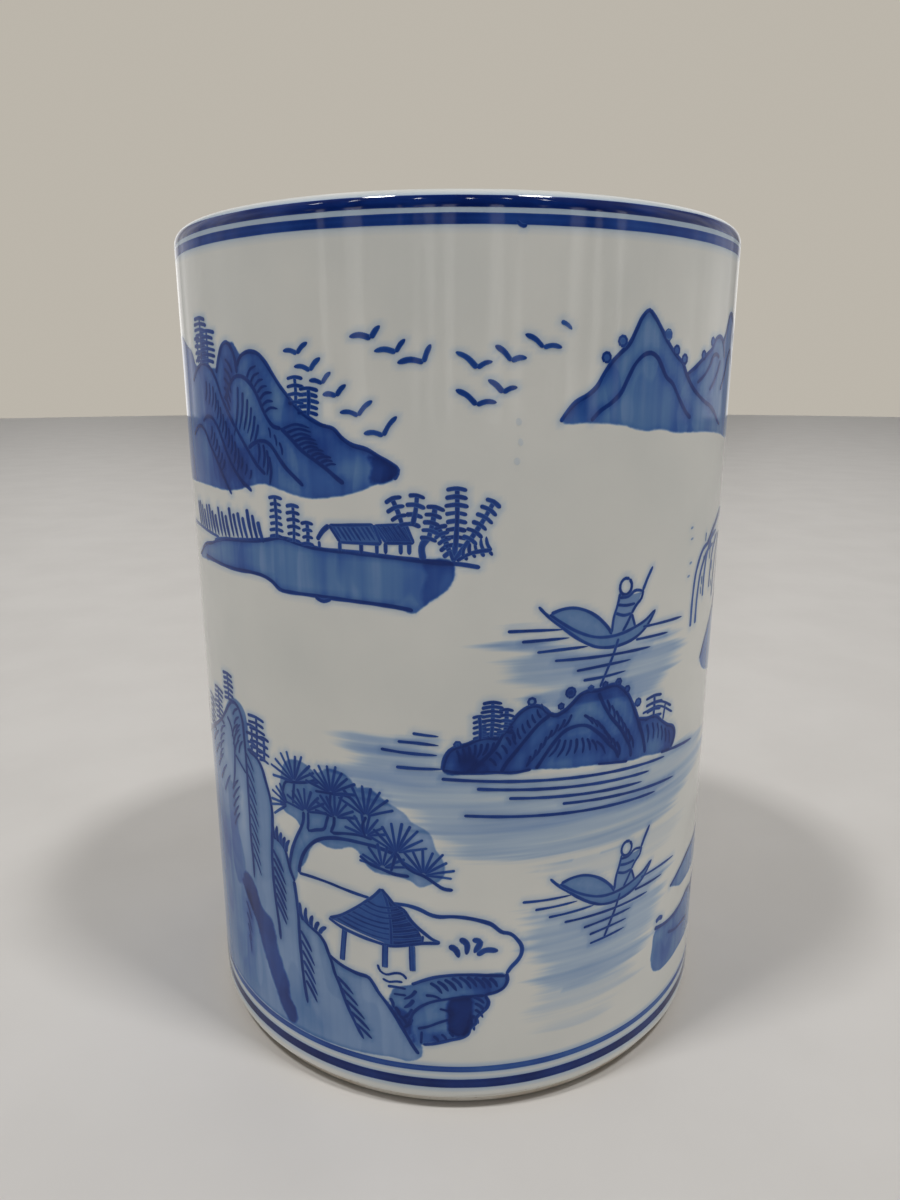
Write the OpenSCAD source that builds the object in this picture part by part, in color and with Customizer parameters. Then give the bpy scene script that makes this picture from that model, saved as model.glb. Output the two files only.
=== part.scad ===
// A cylindrical porcelain brush pot. The clay wall, base slab and foot ring are luted together with slip,
// coated with glaze inside and out, and lined with four rings of cobalt blue.
// Millimetres, +Z up. The origin is the centre of the circle that the foot stands on.

/* [Body] */
// Radius over the outer glaze
outer_r = 65; // [55:1:80]
// Height from the table to the top of the lip
height = 188; // [150:1:240]
// Thickness of the finished wall, both glaze coats included
wall_t = 6; // [5:0.5:8]
// Thickness of each coat of glaze
glaze_t = 0.35; // [0.3:0.05:0.5]

/* [Base] */
// Thickness of the clay slab that closes the bottom
slab_t = 5; // [4:0.5:9]
// Radius of the coil of slip pressed into the inside corner
fillet_r = 4; // [2:0.5:6]
// How far the foot tapers in below the glaze
foot_taper = 2; // [1:0.25:3]
// Width of the bare ring that the pot stands on
foot_w = 6; // [4:0.5:10]
// Depth of the recess inside the foot ring
recess_h = 2.5; // [1.5:0.25:2.5]
// Height at which the outer glaze stops above the table
bare_h = 3.5; // [3.25:0.25:5.5]

/* [Cobalt rings] */
// How deep a cobalt ring lies in the glaze
ring_t = 0.15; // [0.1:0.01:0.2]
// Distance from the top of the lip down to the lower edge of the lip ring
lip_ring_drop = 3.35; // [3.2:0.05:5]
// How far the lip ring climbs round the lip, in degrees
lip_ring_climb = 33; // [5:1:45]
// Gap between the lip ring and the ring below it
lip_gap = 0.85; // [0.5:0.05:3]
// Width of the ring under the lip ring
under_lip_w = 1.8; // [0.5:0.05:3]
// Height of the lower edge of the broad ring at the foot
broad_ring_z = 6; // [6:0.1:12]
// Width of the broad ring at the foot
broad_ring_w = 2.3; // [0.5:0.05:3]
// Gap between the two rings at the foot
foot_gap = 1.85; // [0.5:0.05:4]
// Width of the fine ring above the broad one
fine_ring_w = 1.55; // [0.5:0.05:3]

/* [Hidden] */
$fn = 180;

clay_out_r = outer_r - glaze_t;
clay_in_r = outer_r - wall_t + glaze_t;
lip_r = wall_t / 2;                        // the finished lip is a half round
lip_mid_r = outer_r - lip_r;
lip_z = height - lip_r;                    // where the wall starts to round over
foot_r = outer_r - foot_taper;             // where the foot meets the table
recess_r = foot_r - foot_w;
slab_z = recess_h + glaze_t;               // underside of the clay slab
floor_z = slab_z + slab_t;                 // top of the clay slab
slab_edge_r = foot_r + (clay_out_r - foot_r) * slab_z / bare_h;
foot_soft = 0.6;                           // worn bevel on the ring's two lower edges

// Low and high edge of each cobalt ring.
lip_ring_z = [height - lip_ring_drop, lip_z];
under_lip_z = [lip_ring_z[0] - lip_gap - under_lip_w, lip_ring_z[0] - lip_gap];
broad_z = [broad_ring_z, broad_ring_z + broad_ring_w];
fine_z = [broad_z[1] + foot_gap, broad_z[1] + foot_gap + fine_ring_w];

porcelain = [0.93, 0.93, 0.90];
biscuit = [0.80, 0.74, 0.64];
glaze_white = [0.88, 0.91, 0.90];
cobalt = [0.08, 0.14, 0.48];
thin_cobalt = [0.16, 0.27, 0.58];

// Profile of an upright strip of wall, from radius r0 to r1 and from height z[0] to z[1].
module strip(r0, r1, z) {
    translate([r0, z[0]])
        square([r1 - r0, z[1] - z[0]]);
}

// Profile of a skin round the lip, from radius r0 to r1 about the lip's middle and from angle a0 to a1.
module lip_skin(r0, r1, a0, a1) {
    reach = 2 * lip_r;
    mid_a = (a0 + a1) / 2;
    translate([lip_mid_r, lip_z])
        intersection() {
            difference() {
                circle(r1);
                circle(r0);
            }
            polygon([[0, 0], reach * [cos(a0), sin(a0)], reach * [cos(mid_a), sin(mid_a)],
                     reach * [cos(a1), sin(a1)]]);
        }
}

// Profile of the coil in the inside corner, hollowed out to the given radius.
module corner_coil(r) {
    side = fillet_r;
    translate([clay_in_r - side, floor_z])
        difference() {
            square(side);
            translate([0, side]) circle(r);
        }
}

// Profile of a plain ring's groove.
module groove(z) {
    strip(outer_r - ring_t, outer_r, z);
}

// A place on the lip's rounding, at radius r about the lip's middle and angle a above its widest line.
function on_lip(r, a) = [lip_mid_r + r * cos(a), lip_z + r * sin(a)];

// Profile of the lip ring, from the groove's bottom out to the given distance over the glaze:
// a short straight part, then two flats that climb round the lip.
module lip_groove(over) {
    polygon([[outer_r - ring_t, lip_ring_z[0]], [outer_r + over, lip_ring_z[0]], on_lip(lip_r + over, 0),
             on_lip(lip_r + over, lip_ring_climb / 2), on_lip(lip_r + over, lip_ring_climb),
             on_lip(lip_r - ring_t, lip_ring_climb), on_lip(lip_r - ring_t, lip_ring_climb / 2),
             on_lip(lip_r - ring_t, 0)]);
}

// Thrown cylinder with its half-round lip, luted on to the edge of the base slab.
module clay_wall() {
    color(porcelain)
        rotate_extrude() {
            strip(clay_in_r, clay_out_r, [floor_z, lip_z]);
            translate([lip_mid_r, lip_z])
                intersection() {
                    circle(lip_r - glaze_t);
                    translate([-lip_r, 0]) square([2 * lip_r, lip_r]);
                }
        }
}

// Flat disc that closes the bottom, with its edge turned to the taper of the foot.
module base_slab() {
    color(porcelain)
        rotate_extrude()
            polygon([[0, slab_z], [slab_edge_r, slab_z], [clay_out_r, bare_h], [clay_out_r, floor_z], [0, floor_z]]);
}

// Unglazed ring that the pot stands on.
module foot_ring() {
    color(biscuit)
        rotate_extrude()
            polygon([[recess_r + foot_soft, 0], [foot_r - foot_soft, 0], [foot_r, foot_soft],
                     [slab_edge_r, slab_z], [recess_r, slab_z], [recess_r, foot_soft]]);
}

// Coil of slip that seals the inside corner between wall and slab.
module slip_fillet() {
    color(porcelain)
        rotate_extrude()
            corner_coil(fillet_r);
}

// Outer coat, from the top of the lip down to where it was wiped off above the foot.
module outer_glaze() {
    color(glaze_white)
        rotate_extrude()
            difference() {
                union() {
                    strip(clay_out_r, outer_r, [bare_h, lip_z]);
                    lip_skin(lip_r - glaze_t, lip_r, 0, 90);
                }
                lip_groove(1);
                groove(under_lip_z);
                groove(broad_z);
                groove(fine_z);
            }
}

// Inner coat, from the top of the lip down the wall, round the corner coil and over the floor.
module inner_glaze() {
    color(glaze_white)
        rotate_extrude() {
            lip_skin(lip_r - glaze_t, lip_r, 90, 180);
            strip(clay_in_r - glaze_t, clay_in_r, [floor_z + fillet_r, lip_z]);
            strip(0, clay_in_r - fillet_r, [floor_z, floor_z + glaze_t]);
            difference() {
                corner_coil(fillet_r - glaze_t);
                corner_coil(fillet_r);
            }
        }
}

// Coat on the underside, inside the foot ring.
module base_glaze() {
    color(glaze_white)
        translate([0, 0, recess_h])
            cylinder(r = recess_r, h = glaze_t);
}

// Cobalt ring round the outside of the lip.
module lip_ring() {
    color(cobalt)
        rotate_extrude()
            lip_groove(0);
}

module under_lip_ring() {
    color(cobalt)
        rotate_extrude()
            groove(under_lip_z);
}

module fine_foot_ring() {
    color(thin_cobalt)
        rotate_extrude()
            groove(fine_z);
}

module broad_foot_ring() {
    color(cobalt)
        rotate_extrude()
            groove(broad_z);
}

clay_wall();
base_slab();
foot_ring();
slip_fillet();
outer_glaze();
inner_glaze();
base_glaze();
lip_ring();
under_lip_ring();
fine_foot_ring();
broad_foot_ring();
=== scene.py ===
# %% [markdown]
# # A blue and white brush pot
#
# The real pot is thrown in porcelain clay. A scene is brushed on the raw clay with cobalt, the whole pot
# is dipped in clear glaze, and one firing turns the grey pigment blue and the glaze to glass. The hard
# shapes come from the packed CAD model. This script gives them their surface: glaze, bare clay and the
# painting.

# %% Load the packed model
import math
import random

import bpy
import numpy as np
from mathutils import Euler, Matrix, Vector


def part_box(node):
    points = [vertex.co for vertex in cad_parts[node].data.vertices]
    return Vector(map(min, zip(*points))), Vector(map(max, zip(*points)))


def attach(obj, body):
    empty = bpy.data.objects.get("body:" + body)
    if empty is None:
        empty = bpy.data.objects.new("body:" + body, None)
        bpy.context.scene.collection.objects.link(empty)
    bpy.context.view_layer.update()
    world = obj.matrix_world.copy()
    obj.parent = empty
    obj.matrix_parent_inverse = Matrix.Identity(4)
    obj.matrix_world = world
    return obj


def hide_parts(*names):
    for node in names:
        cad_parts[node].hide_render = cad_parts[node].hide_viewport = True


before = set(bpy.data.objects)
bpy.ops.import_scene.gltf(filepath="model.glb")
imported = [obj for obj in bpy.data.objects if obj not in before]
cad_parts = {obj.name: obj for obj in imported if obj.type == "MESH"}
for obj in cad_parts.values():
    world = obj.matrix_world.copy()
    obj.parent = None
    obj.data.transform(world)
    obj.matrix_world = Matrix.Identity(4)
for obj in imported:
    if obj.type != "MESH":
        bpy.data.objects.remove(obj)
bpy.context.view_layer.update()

print("parts of the model:", sorted(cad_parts))

# %% [markdown]
# ## Measure the pot
#
# Every size that the looks need is read from the model, so the painting still fits if the model changes.
# Work on the wall is in millimetres. The lip is a half round, so its radius is the distance from its
# crown, which is where the inner glaze ends, to the outside of the wall.

# %% Sizes
MM = 0.001


def span(node):
    """Lowest and highest point of a CAD part, in millimetres."""
    low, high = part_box(node)
    return low.z / MM, high.z / MM


POT_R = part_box("outer_glaze")[1].x / MM
LIP_R = POT_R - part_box("inner_glaze")[1].x / MM
GLAZE_EDGE, POT_H = span("outer_glaze")
LIP_Z = POT_H - LIP_R
ROUND = 2 * math.pi * POT_R
print(f"radius {POT_R:.1f}, height {POT_H:.1f}, lip radius {LIP_R:.1f}, once round {ROUND:.1f} mm")

# %% [markdown]
# ## A place on the wall
#
# The painter turns the pot while working, so the picture is one long strip. A place on it is written (s,
# z): s millimetres round from the middle of the front, positive to the right, and z millimetres above the
# table. Above the widest line of the lip z runs on round the lip, as a tape measure would. A wall that
# was thrown by hand is never a true cylinder, so it swells by a few hundredths of a millimetre, and that
# is what makes the reflections in the glaze waver. Bending the geometry does it, and the paint on top
# follows the same function.

# %% From the strip to the pot
def swell(s, z):
    """How far the thrown wall stands out from a true cylinder, in mm."""
    turn = s / POT_R
    finger_rings = 0.022 * np.sin(z / 5.3 + 0.8 * np.sin(turn + 1.0))
    out_of_round = 0.05 * np.sin(2 * turn + z / 70) + 0.02 * np.sin(5 * turn - z / 31)
    calm = np.clip((LIP_Z - z) / 14, 0, 1) * np.clip((z - GLAZE_EDGE) / 10, 0, 1)
    return calm * (finger_rings + out_of_round)


def on_wall(s, z, proud=0.0):
    """Points in metres on the outer glaze, proud mm above it, and the directions that face out there."""
    s, z = np.broadcast_arrays(np.asarray(s, float), np.asarray(z, float))
    turn = s / POT_R
    climb = np.clip(z - LIP_Z, 0, None) / LIP_R
    lean = swell(s, z + 0.5) - swell(s, z - 0.5)
    out, up = np.cos(climb), np.sin(climb) - lean
    length = np.hypot(out, up)
    out, up = out / length, up / length
    r = POT_R - LIP_R + LIP_R * np.cos(climb) + swell(s, z) + proud * out
    h = np.minimum(z, LIP_Z) + LIP_R * np.sin(climb) + proud * up
    spots = np.stack([r * np.sin(turn), -r * np.cos(turn), h], -1) * MM
    facing = np.stack([out * np.sin(turn), -out * np.cos(turn), up], -1)
    return spots, facing


print("front of the wall at half height:", on_wall(0, POT_H / 2)[0].round(4))

# %% [markdown]
# ## One helper for every mesh
#
# All new pieces are made from arrays of points. Each vertex gets the exact direction that the smooth
# surface faces, so a highlight runs on without a break where one piece ends and another starts. Amounts
# of pigment are stored on the vertices as named attributes, which the materials read.

# %% Make a piece
def make_piece(name, spots, facing, faces, finish, slot, stands_for=(), **amounts):
    mesh = bpy.data.meshes.new(name)
    mesh.from_pydata(spots.reshape(-1, 3).tolist(), [], faces)
    mesh.polygons.foreach_set("use_smooth", [True] * len(mesh.polygons))
    mesh.normals_split_custom_set_from_vertices(facing.reshape(-1, 3).tolist())
    for key, values in amounts.items():
        layer = mesh.attributes.new(key, "FLOAT", "POINT")
        layer.data.foreach_set("value", np.asarray(values, np.float32).ravel())
    mesh.materials.append(finish)
    piece = bpy.data.objects.new(name, mesh)
    bpy.context.collection.objects.link(piece)
    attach(piece, "root")
    if stands_for:
        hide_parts(*stands_for)
    print(f"{name}: {len(mesh.vertices)} points, {len(mesh.polygons)} faces")
    return piece


def net(rows, columns, closed=True):
    """Four-sided faces over a grid of points, joined round to the first column when closed."""
    last = columns if closed else columns - 1
    row, column = np.meshgrid(np.arange(rows - 1), np.arange(last), indexing="ij")
    right = (column + 1) % columns
    low, high = row * columns, (row + 1) * columns
    return np.stack([low + column, low + right, high + right, high + column], -1).reshape(-1, 4).tolist()


# %% [markdown]
# ## Writing a material as sums
#
# A material is a tree of nodes. Written one link at a time it is hard to read, so three small classes
# help. A Value wraps a socket, and adding or multiplying Values adds the Math nodes. Nodes is any tree,
# and its node method makes any other node. A Finish is one material, with sizes of grain in millimetres,
# stretched along an axis if needed.

# %% The three classes
class Value:
    """A number that varies over the surface, kept as a node's output socket."""

    def __init__(self, nodes, socket):
        self.nodes = nodes
        self.socket = socket

    def math(self, operation, first, second):
        return self.nodes.node("Math", {"operation": operation}, {0: first, 1: second})

    def __add__(self, other):
        return self.math("ADD", self, other)

    __radd__ = __add__

    def __sub__(self, other):
        return self.math("SUBTRACT", self, other)

    def __rsub__(self, other):
        return self.math("SUBTRACT", other, self)

    def __mul__(self, other):
        return self.math("MULTIPLY", self, other)

    __rmul__ = __mul__

    def at_least(self, other):
        return self.math("MAXIMUM", self, other)

    def ease(self, low, high):
        """0 below low, 1 above high, with a soft step between them."""
        limits = {0: self, 1: low, 2: high}
        return self.nodes.node("MapRange", {"interpolation_type": "SMOOTHSTEP"}, limits)

    def spread(self, low, high, first, last):
        """Runs evenly from first, where this is low, to last, where it is high."""
        return self.nodes.node("MapRange", {}, {0: self, 1: low, 2: high, 3: first, 4: last})


class Nodes:
    """A tree of shader nodes."""

    def __init__(self, tree):
        self.tree = tree

    def node(self, kind, settings=None, sockets=None, out=0):
        made = self.tree.nodes.new("ShaderNode" + kind)
        for key, value in (settings or {}).items():
            if key == "stops":
                self.set_stops(made.color_ramp, value)
            else:
                setattr(made, key, value)
        for key, value in (sockets or {}).items():
            self.feed(made.inputs[key], value)
        return Value(self, made.outputs[out])

    def feed(self, socket, value):
        if isinstance(value, Value):
            self.tree.links.new(value.socket, socket)
        else:
            socket.default_value = value

    def set_stops(self, ramp, stops):
        while len(ramp.elements) < len(stops):
            ramp.elements.new(0.5)
        for element, (place, colour) in zip(ramp.elements, stops):
            element.position = place
            element.color = (*colour, 1)


class Finish(Nodes):
    """A material on the Principled shader, with helpers that add its nodes."""

    def __init__(self, name):
        self.material = bpy.data.materials.new(name)
        self.material.use_nodes = True
        super().__init__(self.material.node_tree)
        self.shader = self.tree.nodes["Principled BSDF"]

    def amount(self, name):
        """An amount that is stored on the vertices."""
        return self.node("Attribute", {"attribute_name": name}, out=2)

    def place(self, stretch=(1, 1, 1)):
        """The point on the pot, squeezed so that a pattern drawn there comes out stretched."""
        here = self.node("TexCoord", out=3)
        squeeze = tuple(1 / (MM * k) for k in stretch)
        return self.node("VectorMath", {"operation": "MULTIPLY"}, {0: here, 1: squeeze})

    def grain(self, size, stretch=(1, 1, 1), detail=2.0, shift=0.0):
        """Cloudy noise about 0.5, with lumps of about the given size in mm."""
        sockets = {"Vector": self.place(stretch), "W": shift, "Scale": 1 / size, "Detail": detail}
        return self.node("TexNoise", {"noise_dimensions": "4D"}, sockets)

    def dots(self, size, gap):
        """1 on scattered round dots, one for each cell of gap mm, and 0 elsewhere."""
        sockets = {"Vector": self.place(), "Scale": 1 / gap}
        from_dot = self.node("TexVoronoi", {}, sockets)
        return 1 - from_dot.ease(size / gap * 0.5, size / gap)

    def blend(self, factor, first, second, how="MIX"):
        sockets = {0: factor, 6: first, 7: second}
        return self.node("Mix", {"data_type": "RGBA", "blend_type": how}, sockets, out=2)

    def bump(self, height, depth):
        """Feeds the shader's normal with a height in mm."""
        sockets = {"Height": height, "Distance": depth * MM, "Strength": 1.0}
        self.feed(self.shader.inputs["Normal"], self.node("Bump", {}, sockets))

    def colour(self, value):
        self.feed(self.shader.inputs["Base Color"], value)

    def rough(self, value):
        self.feed(self.shader.inputs["Roughness"], value)


def rgb(red, green, blue):
    return (red, green, blue, 1.0)


print("maths on a Value:", [name for name in vars(Value) if not name.endswith("__")])


# %% [markdown]
# ## Glaze over cobalt
#
# Cobalt under glaze works like coloured glass: each further layer of pigment takes away the same share of
# the light, most of the red, less of the green and little of the blue. One ramp holds the colours from
# bare glaze to the thickest ink, and every painted surface looks its colour up there. DEEPEST is the
# layer at the ramp's end. The white under it isn't one colour either: it is a little greyer in clouds,
# and holds tiny dark specks of iron. The fired glaze has a soft orange-peel surface.

# %% The glaze
DEEPEST = 5.0
THROUGH_COBALT = [
    (0.0, (1.0, 1.0, 1.0)),
    (0.10, (0.60, 0.74, 0.95)),
    (0.20, (0.33, 0.485, 0.82)),
    (0.36, (0.13, 0.28, 0.63)),
    (0.48, (0.055, 0.16, 0.55)),
    (0.60, (0.026, 0.09, 0.43)),
    (0.76, (0.011, 0.045, 0.28)),
    (0.88, (0.006, 0.026, 0.19)),
    (1.0, (0.003, 0.015, 0.14)),
]
GLAZE_WHITE = rgb(0.76, 0.76, 0.72)
GLAZE_GREY = rgb(0.69, 0.70, 0.67)
IRON = rgb(0.16, 0.12, 0.08)


def glazed(name, layer_of, mirror=0.2):
    """A glossy finish. layer_of gives the thickness of cobalt, and mirror how strongly it reflects."""
    finish = Finish(name)
    finish.shader.inputs["Specular IOR Level"].default_value = mirror
    clouds = finish.grain(38, detail=3.0).ease(0.35, 0.7)
    white = finish.blend(clouds, GLAZE_WHITE, GLAZE_GREY)
    specks = finish.dots(0.28, 17) * finish.grain(23, shift=4.0).ease(0.5, 0.56) * 0.75
    white = finish.blend(specks, white, IRON)
    ramp = {"stops": THROUGH_COBALT}
    stain = finish.node("ValToRGB", ramp, {0: layer_of(finish) * (1 / DEEPEST)})
    finish.colour(finish.blend(1.0, white, stain, "MULTIPLY"))
    finish.rough(0.03 + 0.07 * finish.grain(9, detail=3.0, shift=2.0))
    peel = finish.grain(2.6, detail=1.0, shift=1.0) + 2.5 * finish.grain(11, detail=1.0, shift=7.0)
    finish.bump(peel, 0.012)
    return finish.material


print("cobalt goes from bare glaze to the thickest ink in", len(THROUGH_COBALT), "colours")

# %% [markdown]
# ## Soft curves through a few points
#
# A brush line is given by the few places that it passes through. A cubic between each two of them, with
# the same direction on both sides of a point, gives the easy curve that a hand makes. The same function
# closes the outlines of the washes.

# %% Curve
def curve(points, closed=False, step=0.7):
    """Points about every step mm along a soft curve through the given ones."""
    p = np.array(points, float)
    before = np.roll(p, 1, axis=0) if closed else np.vstack([2 * p[0] - p[1], p[:-1]])
    after = np.roll(p, -1, axis=0) if closed else np.vstack([p[1:], 2 * p[-1] - p[-2]])
    back, ahead = p - before, after - p
    len_back = np.hypot(*back.T)[:, None] + 1e-9
    len_ahead = np.hypot(*ahead.T)[:, None] + 1e-9
    slope = (ahead / len_ahead * len_back + back / len_back * len_ahead) / (len_back + len_ahead)
    pieces = []
    for k in range(len(p) if closed else len(p) - 1):
        j = (k + 1) % len(p)
        length = len_ahead[k, 0]
        t = np.linspace(0, 1, max(2, round(length / step)) + 1)[:-1, None]
        pieces.append(
            (2 * t**3 - 3 * t**2 + 1) * p[k]
            + (t**3 - 2 * t**2 + t) * length * slope[k]
            + (3 * t**2 - 2 * t**3) * p[j]
            + (t**3 - t**2) * length * slope[j]
        )
    if not closed:
        pieces.append(p[-1:])
    return np.vstack(pieces)


print("points on a test curve:", len(curve([(0, 0), (10, 4), (20, 0)])))

# %% [markdown]
# ## Washes on a grid
#
# Thinned cobalt is laid on with a wide soft brush. It has a clear edge where the brush was lifted, and
# grows deeper where it pooled. The wall is one fine grid of points, and each point holds how far it lies
# inside the nearest wash. The material turns that distance into an edge, which stays sharp between the
# grid's points, where a plain yes or no would show steps. A second pair of amounts holds the darker
# patches that are laid over a wash, and a third holds water. Water is pulled level with a brush that runs
# dry, so there a step along the strip counts for less than a step up or down, and the torn edge comes out
# longest at the ends of the pulls. The last amount is the colour that bleeds out of the drawn lines.

# %% The grid and its amounts
COLUMNS = 480
UPRIGHT_ROWS = 194
LIP_ROWS = 6
wall_rows = [(GLAZE_EDGE, -0.34), (GLAZE_EDGE + 0.03, -0.15), (GLAZE_EDGE + 0.3, -0.02)]
wall_rows += [(z, 0.0) for z in np.linspace(GLAZE_EDGE + 1.1, LIP_Z, UPRIGHT_ROWS)]
wall_rows += [(LIP_Z + LIP_R * math.pi / 2 * k / LIP_ROWS, 0.0) for k in range(1, LIP_ROWS + 1)]
row_z = np.array([z for z, proud in wall_rows])
grid_s, grid_z = np.meshgrid((np.arange(COLUMNS) / COLUMNS - 0.5) * ROUND, row_z)

OUTSIDE = -9.0
MEASURED = 7.0
wash_edge = np.full(grid_s.shape, OUTSIDE)
wash_layer = np.zeros(grid_s.shape)
patch_edge = np.full(grid_s.shape, OUTSIDE)
patch_layer = np.zeros(grid_s.shape)
water_edge = np.full(grid_s.shape, OUTSIDE)
water_layer = np.zeros(grid_s.shape)
bleed = np.zeros(grid_s.shape)
print("grid on the wall:", grid_s.shape, f"cells of {ROUND / COLUMNS:.2f} by {row_z[9] - row_z[8]:.2f} mm")


# %% Laying a wash
def near(s_middle):
    """The grid's s, counted the short way round from s_middle."""
    return (grid_s - s_middle + ROUND / 2) % ROUND - ROUND / 2 + s_middle


def inside_by(outline, s, z):
    """How far each point lies inside a closed outline, in mm; negative outside."""
    start, end = outline, np.roll(outline, -1, axis=0)
    run, rise = (end - start).T
    to_s, to_z = s[:, None] - start[:, 0], z[:, None] - start[:, 1]
    t = np.clip((to_s * run + to_z * rise) / (run**2 + rise**2 + 1e-12), 0, 1)
    gap = np.hypot(to_s - t * run, to_z - t * rise).min(axis=1)
    spans = (start[:, 1] > z[:, None]) != (end[:, 1] > z[:, None])
    meets = start[:, 0] + to_z * run / np.where(rise == 0, 1e-9, rise) > s[:, None]
    return np.where((spans & meets).sum(axis=1) % 2 == 1, gap, -gap)


def lay(points, layer, edge_amount, layer_amount, squeeze=1.0):
    """Lays colour inside a soft outline. Distances along the strip count as squeeze times their length."""
    outline = curve(points, closed=True, step=1.2)
    s = near(outline[:, 0].mean())
    outline[:, 0] *= squeeze
    s = s * squeeze
    low, high = outline.min(axis=0) - MEASURED, outline.max(axis=0) + MEASURED
    box = (s > low[0]) & (s < high[0]) & (grid_z > low[1]) & (grid_z < high[1])
    depth = np.full(s.shape, OUTSIDE)
    depth[box] = inside_by(outline, s[box], grid_z[box])
    reached = (depth > 1 - MEASURED) & (depth > edge_amount)
    layer_amount[reached] = layer
    np.maximum(edge_amount, depth, out=edge_amount)


def wash(points, layer):
    """A flat wash of cobalt inside a soft outline."""
    lay(points, layer, wash_edge, wash_layer)


def patch(points, layer):
    """A darker patch laid over a wash."""
    lay(points, layer, patch_edge, patch_layer)


def water(points, layer):
    """Level pulls of a wide brush, which break up into streaks at both ends."""
    lay(points, layer, water_edge, water_layer, squeeze=0.35)


def pool(s, z, wide, high, more, amount=wash_layer):
    """Makes a wash deeper, or paler, round one place."""
    apart = ((near(s) - s) / wide) ** 2 + ((grid_z - z) / high) ** 2
    amount[:] += more * np.exp(-apart)


print("distance from the middle of a 20 mm square to its edge:",
      inside_by(np.array([(0, 0), (20, 0), (20, 20), (0, 20)], float), np.array([10.0]), np.array([10.0])))


# %% [markdown]
# ## Brush lines
#
# The outlines are drawn with a pointed brush full of dark cobalt. A line has width, a round start and an
# end that tapers as the brush lifts. Each line is a narrow ribbon of five points across, lying a few
# hundredths of a millimetre over the glaze. The pigment is thinner at both sides, because it creeps into
# the glaze in the fire. A texture could not hold lines this fine all round the pot, and ribbons stay
# sharp from any distance. Small filled shapes, such as a roof, are nets stretched between two lines.

# %% Ribbons and small fills
DARK = 3.35
SOFT_INK = 2.75
LINE_PROUD = 0.03
FILL_PROUD = 0.012
ACROSS = np.array([-1.0, -0.6, 0.0, 0.6, 1.0])
THINNER = np.array([0.56, 0.93, 1.0, 0.93, 0.56])
hand = random.Random(23)
drawn = []


def along(line, lengths):
    """Points on a line at the given lengths from its start."""
    run = np.concatenate([[0], np.cumsum(np.hypot(*np.diff(line, axis=0).T))])
    return np.stack([np.interp(lengths, run, line[:, 0]), np.interp(lengths, run, line[:, 1])], -1)


def length_of(line):
    return np.hypot(*np.diff(line, axis=0).T).sum()


def soak(line, half, ink):
    """Lets the colour of a line creep a little way into the glaze on both sides of it."""
    column = (line[:, 0] / ROUND + 0.5) * COLUMNS
    row = np.interp(line[:, 1], row_z, np.arange(len(row_z)))
    for right, up in [(right, up) for right in range(-2, 3) for up in range(-2, 3)]:
        k = np.round(column).astype(int) + right
        j = np.clip(np.round(row).astype(int) + up, 0, len(row_z) - 1)
        gap = np.hypot((k - column) * ROUND / COLUMNS, row_z[j] - line[:, 1])
        crept = 0.12 * ink * np.exp(-((np.clip(gap - half, 0, None) / 0.7) ** 2))
        np.maximum.at(bleed, (j, k % COLUMNS), crept)


def stroke(points, wide=0.75, ink=DARK, head=0.35, tail=0.6):
    """One brush line. It reaches its width after head mm and thins over its last tail mm."""
    line = curve(points)
    total = length_of(line)
    head, tail = min(head, total * 0.45), min(tail, total * 0.45)
    body = np.linspace(head, total - tail, max(2, math.ceil((total - head - tail) / 0.7) + 1))
    rounding, lift = head * np.array([0, 0.12, 0.4]), total - tail * np.array([0.6, 0.25, 0.06, 0])
    at = np.concatenate([rounding, body, lift])
    line = along(line, at)
    grow = np.clip(np.minimum(at / head, (total - at) / tail), 0.012, 1)
    shake = 1 + 0.08 * np.sin(at / 2.1 + hand.uniform(0, 6)) + 0.05 * np.sin(at / 0.8 + hand.uniform(0, 6))
    half = wide / 2 * np.sqrt(1 - (1 - grow) ** 2) * shake
    ahead = np.gradient(line, axis=0)
    ahead /= np.hypot(*ahead.T)[:, None] + 1e-12
    aside = np.stack([-ahead[:, 1], ahead[:, 0]], -1)
    net_points = line[:, None] - aside[:, None] * (half[:, None] * ACROSS)[..., None]
    fade = ink * (1 + 0.07 * np.sin(at / 5 + hand.uniform(0, 6)))
    soak(line, half, fade)
    drawn.append((net_points, fade[:, None] * THINNER, LINE_PROUD + 0.0015 * (len(drawn) % 12)))


def fill(upper, lower, layer):
    """A small flat fill between two lines that run the same way."""
    upper, lower = curve(upper), curve(lower)
    columns = max(3, math.ceil(max(length_of(upper), length_of(lower))) + 1)
    top = along(upper, np.linspace(0, length_of(upper), columns))
    bottom = along(lower, np.linspace(0, length_of(lower), columns))
    rows = max(2, math.ceil(np.hypot(*(top - bottom).T).max() / 1.2) + 1)
    part = np.linspace(0, 1, rows)[:, None, None]
    net_points = bottom * (1 - part) + top * part
    drawn.append((net_points, np.full(net_points.shape[:2], layer), FILL_PROUD + 0.0015 * (len(drawn) % 8)))


groups = {}
print("widest and thinnest ink:", DARK, SOFT_INK)


def keep_lines(name):
    """Puts everything drawn since the last call under one name."""
    groups[name] = list(drawn)
    print(f"{name}: {len(drawn)} lines and fills")
    drawn.clear()


# %% [markdown]
# ## The painter's stock figures
#
# A painter repeats a few figures that every pupil learns: a hill's shading, a fir of level twigs, a gull,
# a ripple. Each is a function of where it stands and how big it is, so the front and the back of the pot
# are painted by the same hand.

# %% Shading, firs, gulls and bushes
def comb(line, count, first, last, wide=0.6, ink=DARK, bend=0.1):
    """Short strokes that start along a line; their direction turns from the first to the last."""
    line = curve(line)
    starts = along(line, np.linspace(0, length_of(line), count))
    for k, start in enumerate(starts):
        part = k / max(1, count - 1)
        reach = (np.array(first) * (1 - part) + np.array(last) * part) * hand.uniform(0.86, 1.12)
        aside = np.array([-reach[1], reach[0]]) * bend
        stroke([start, start + reach / 2 + aside, start + reach], wide, ink, tail=0.5 * np.hypot(*reach))


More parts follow.
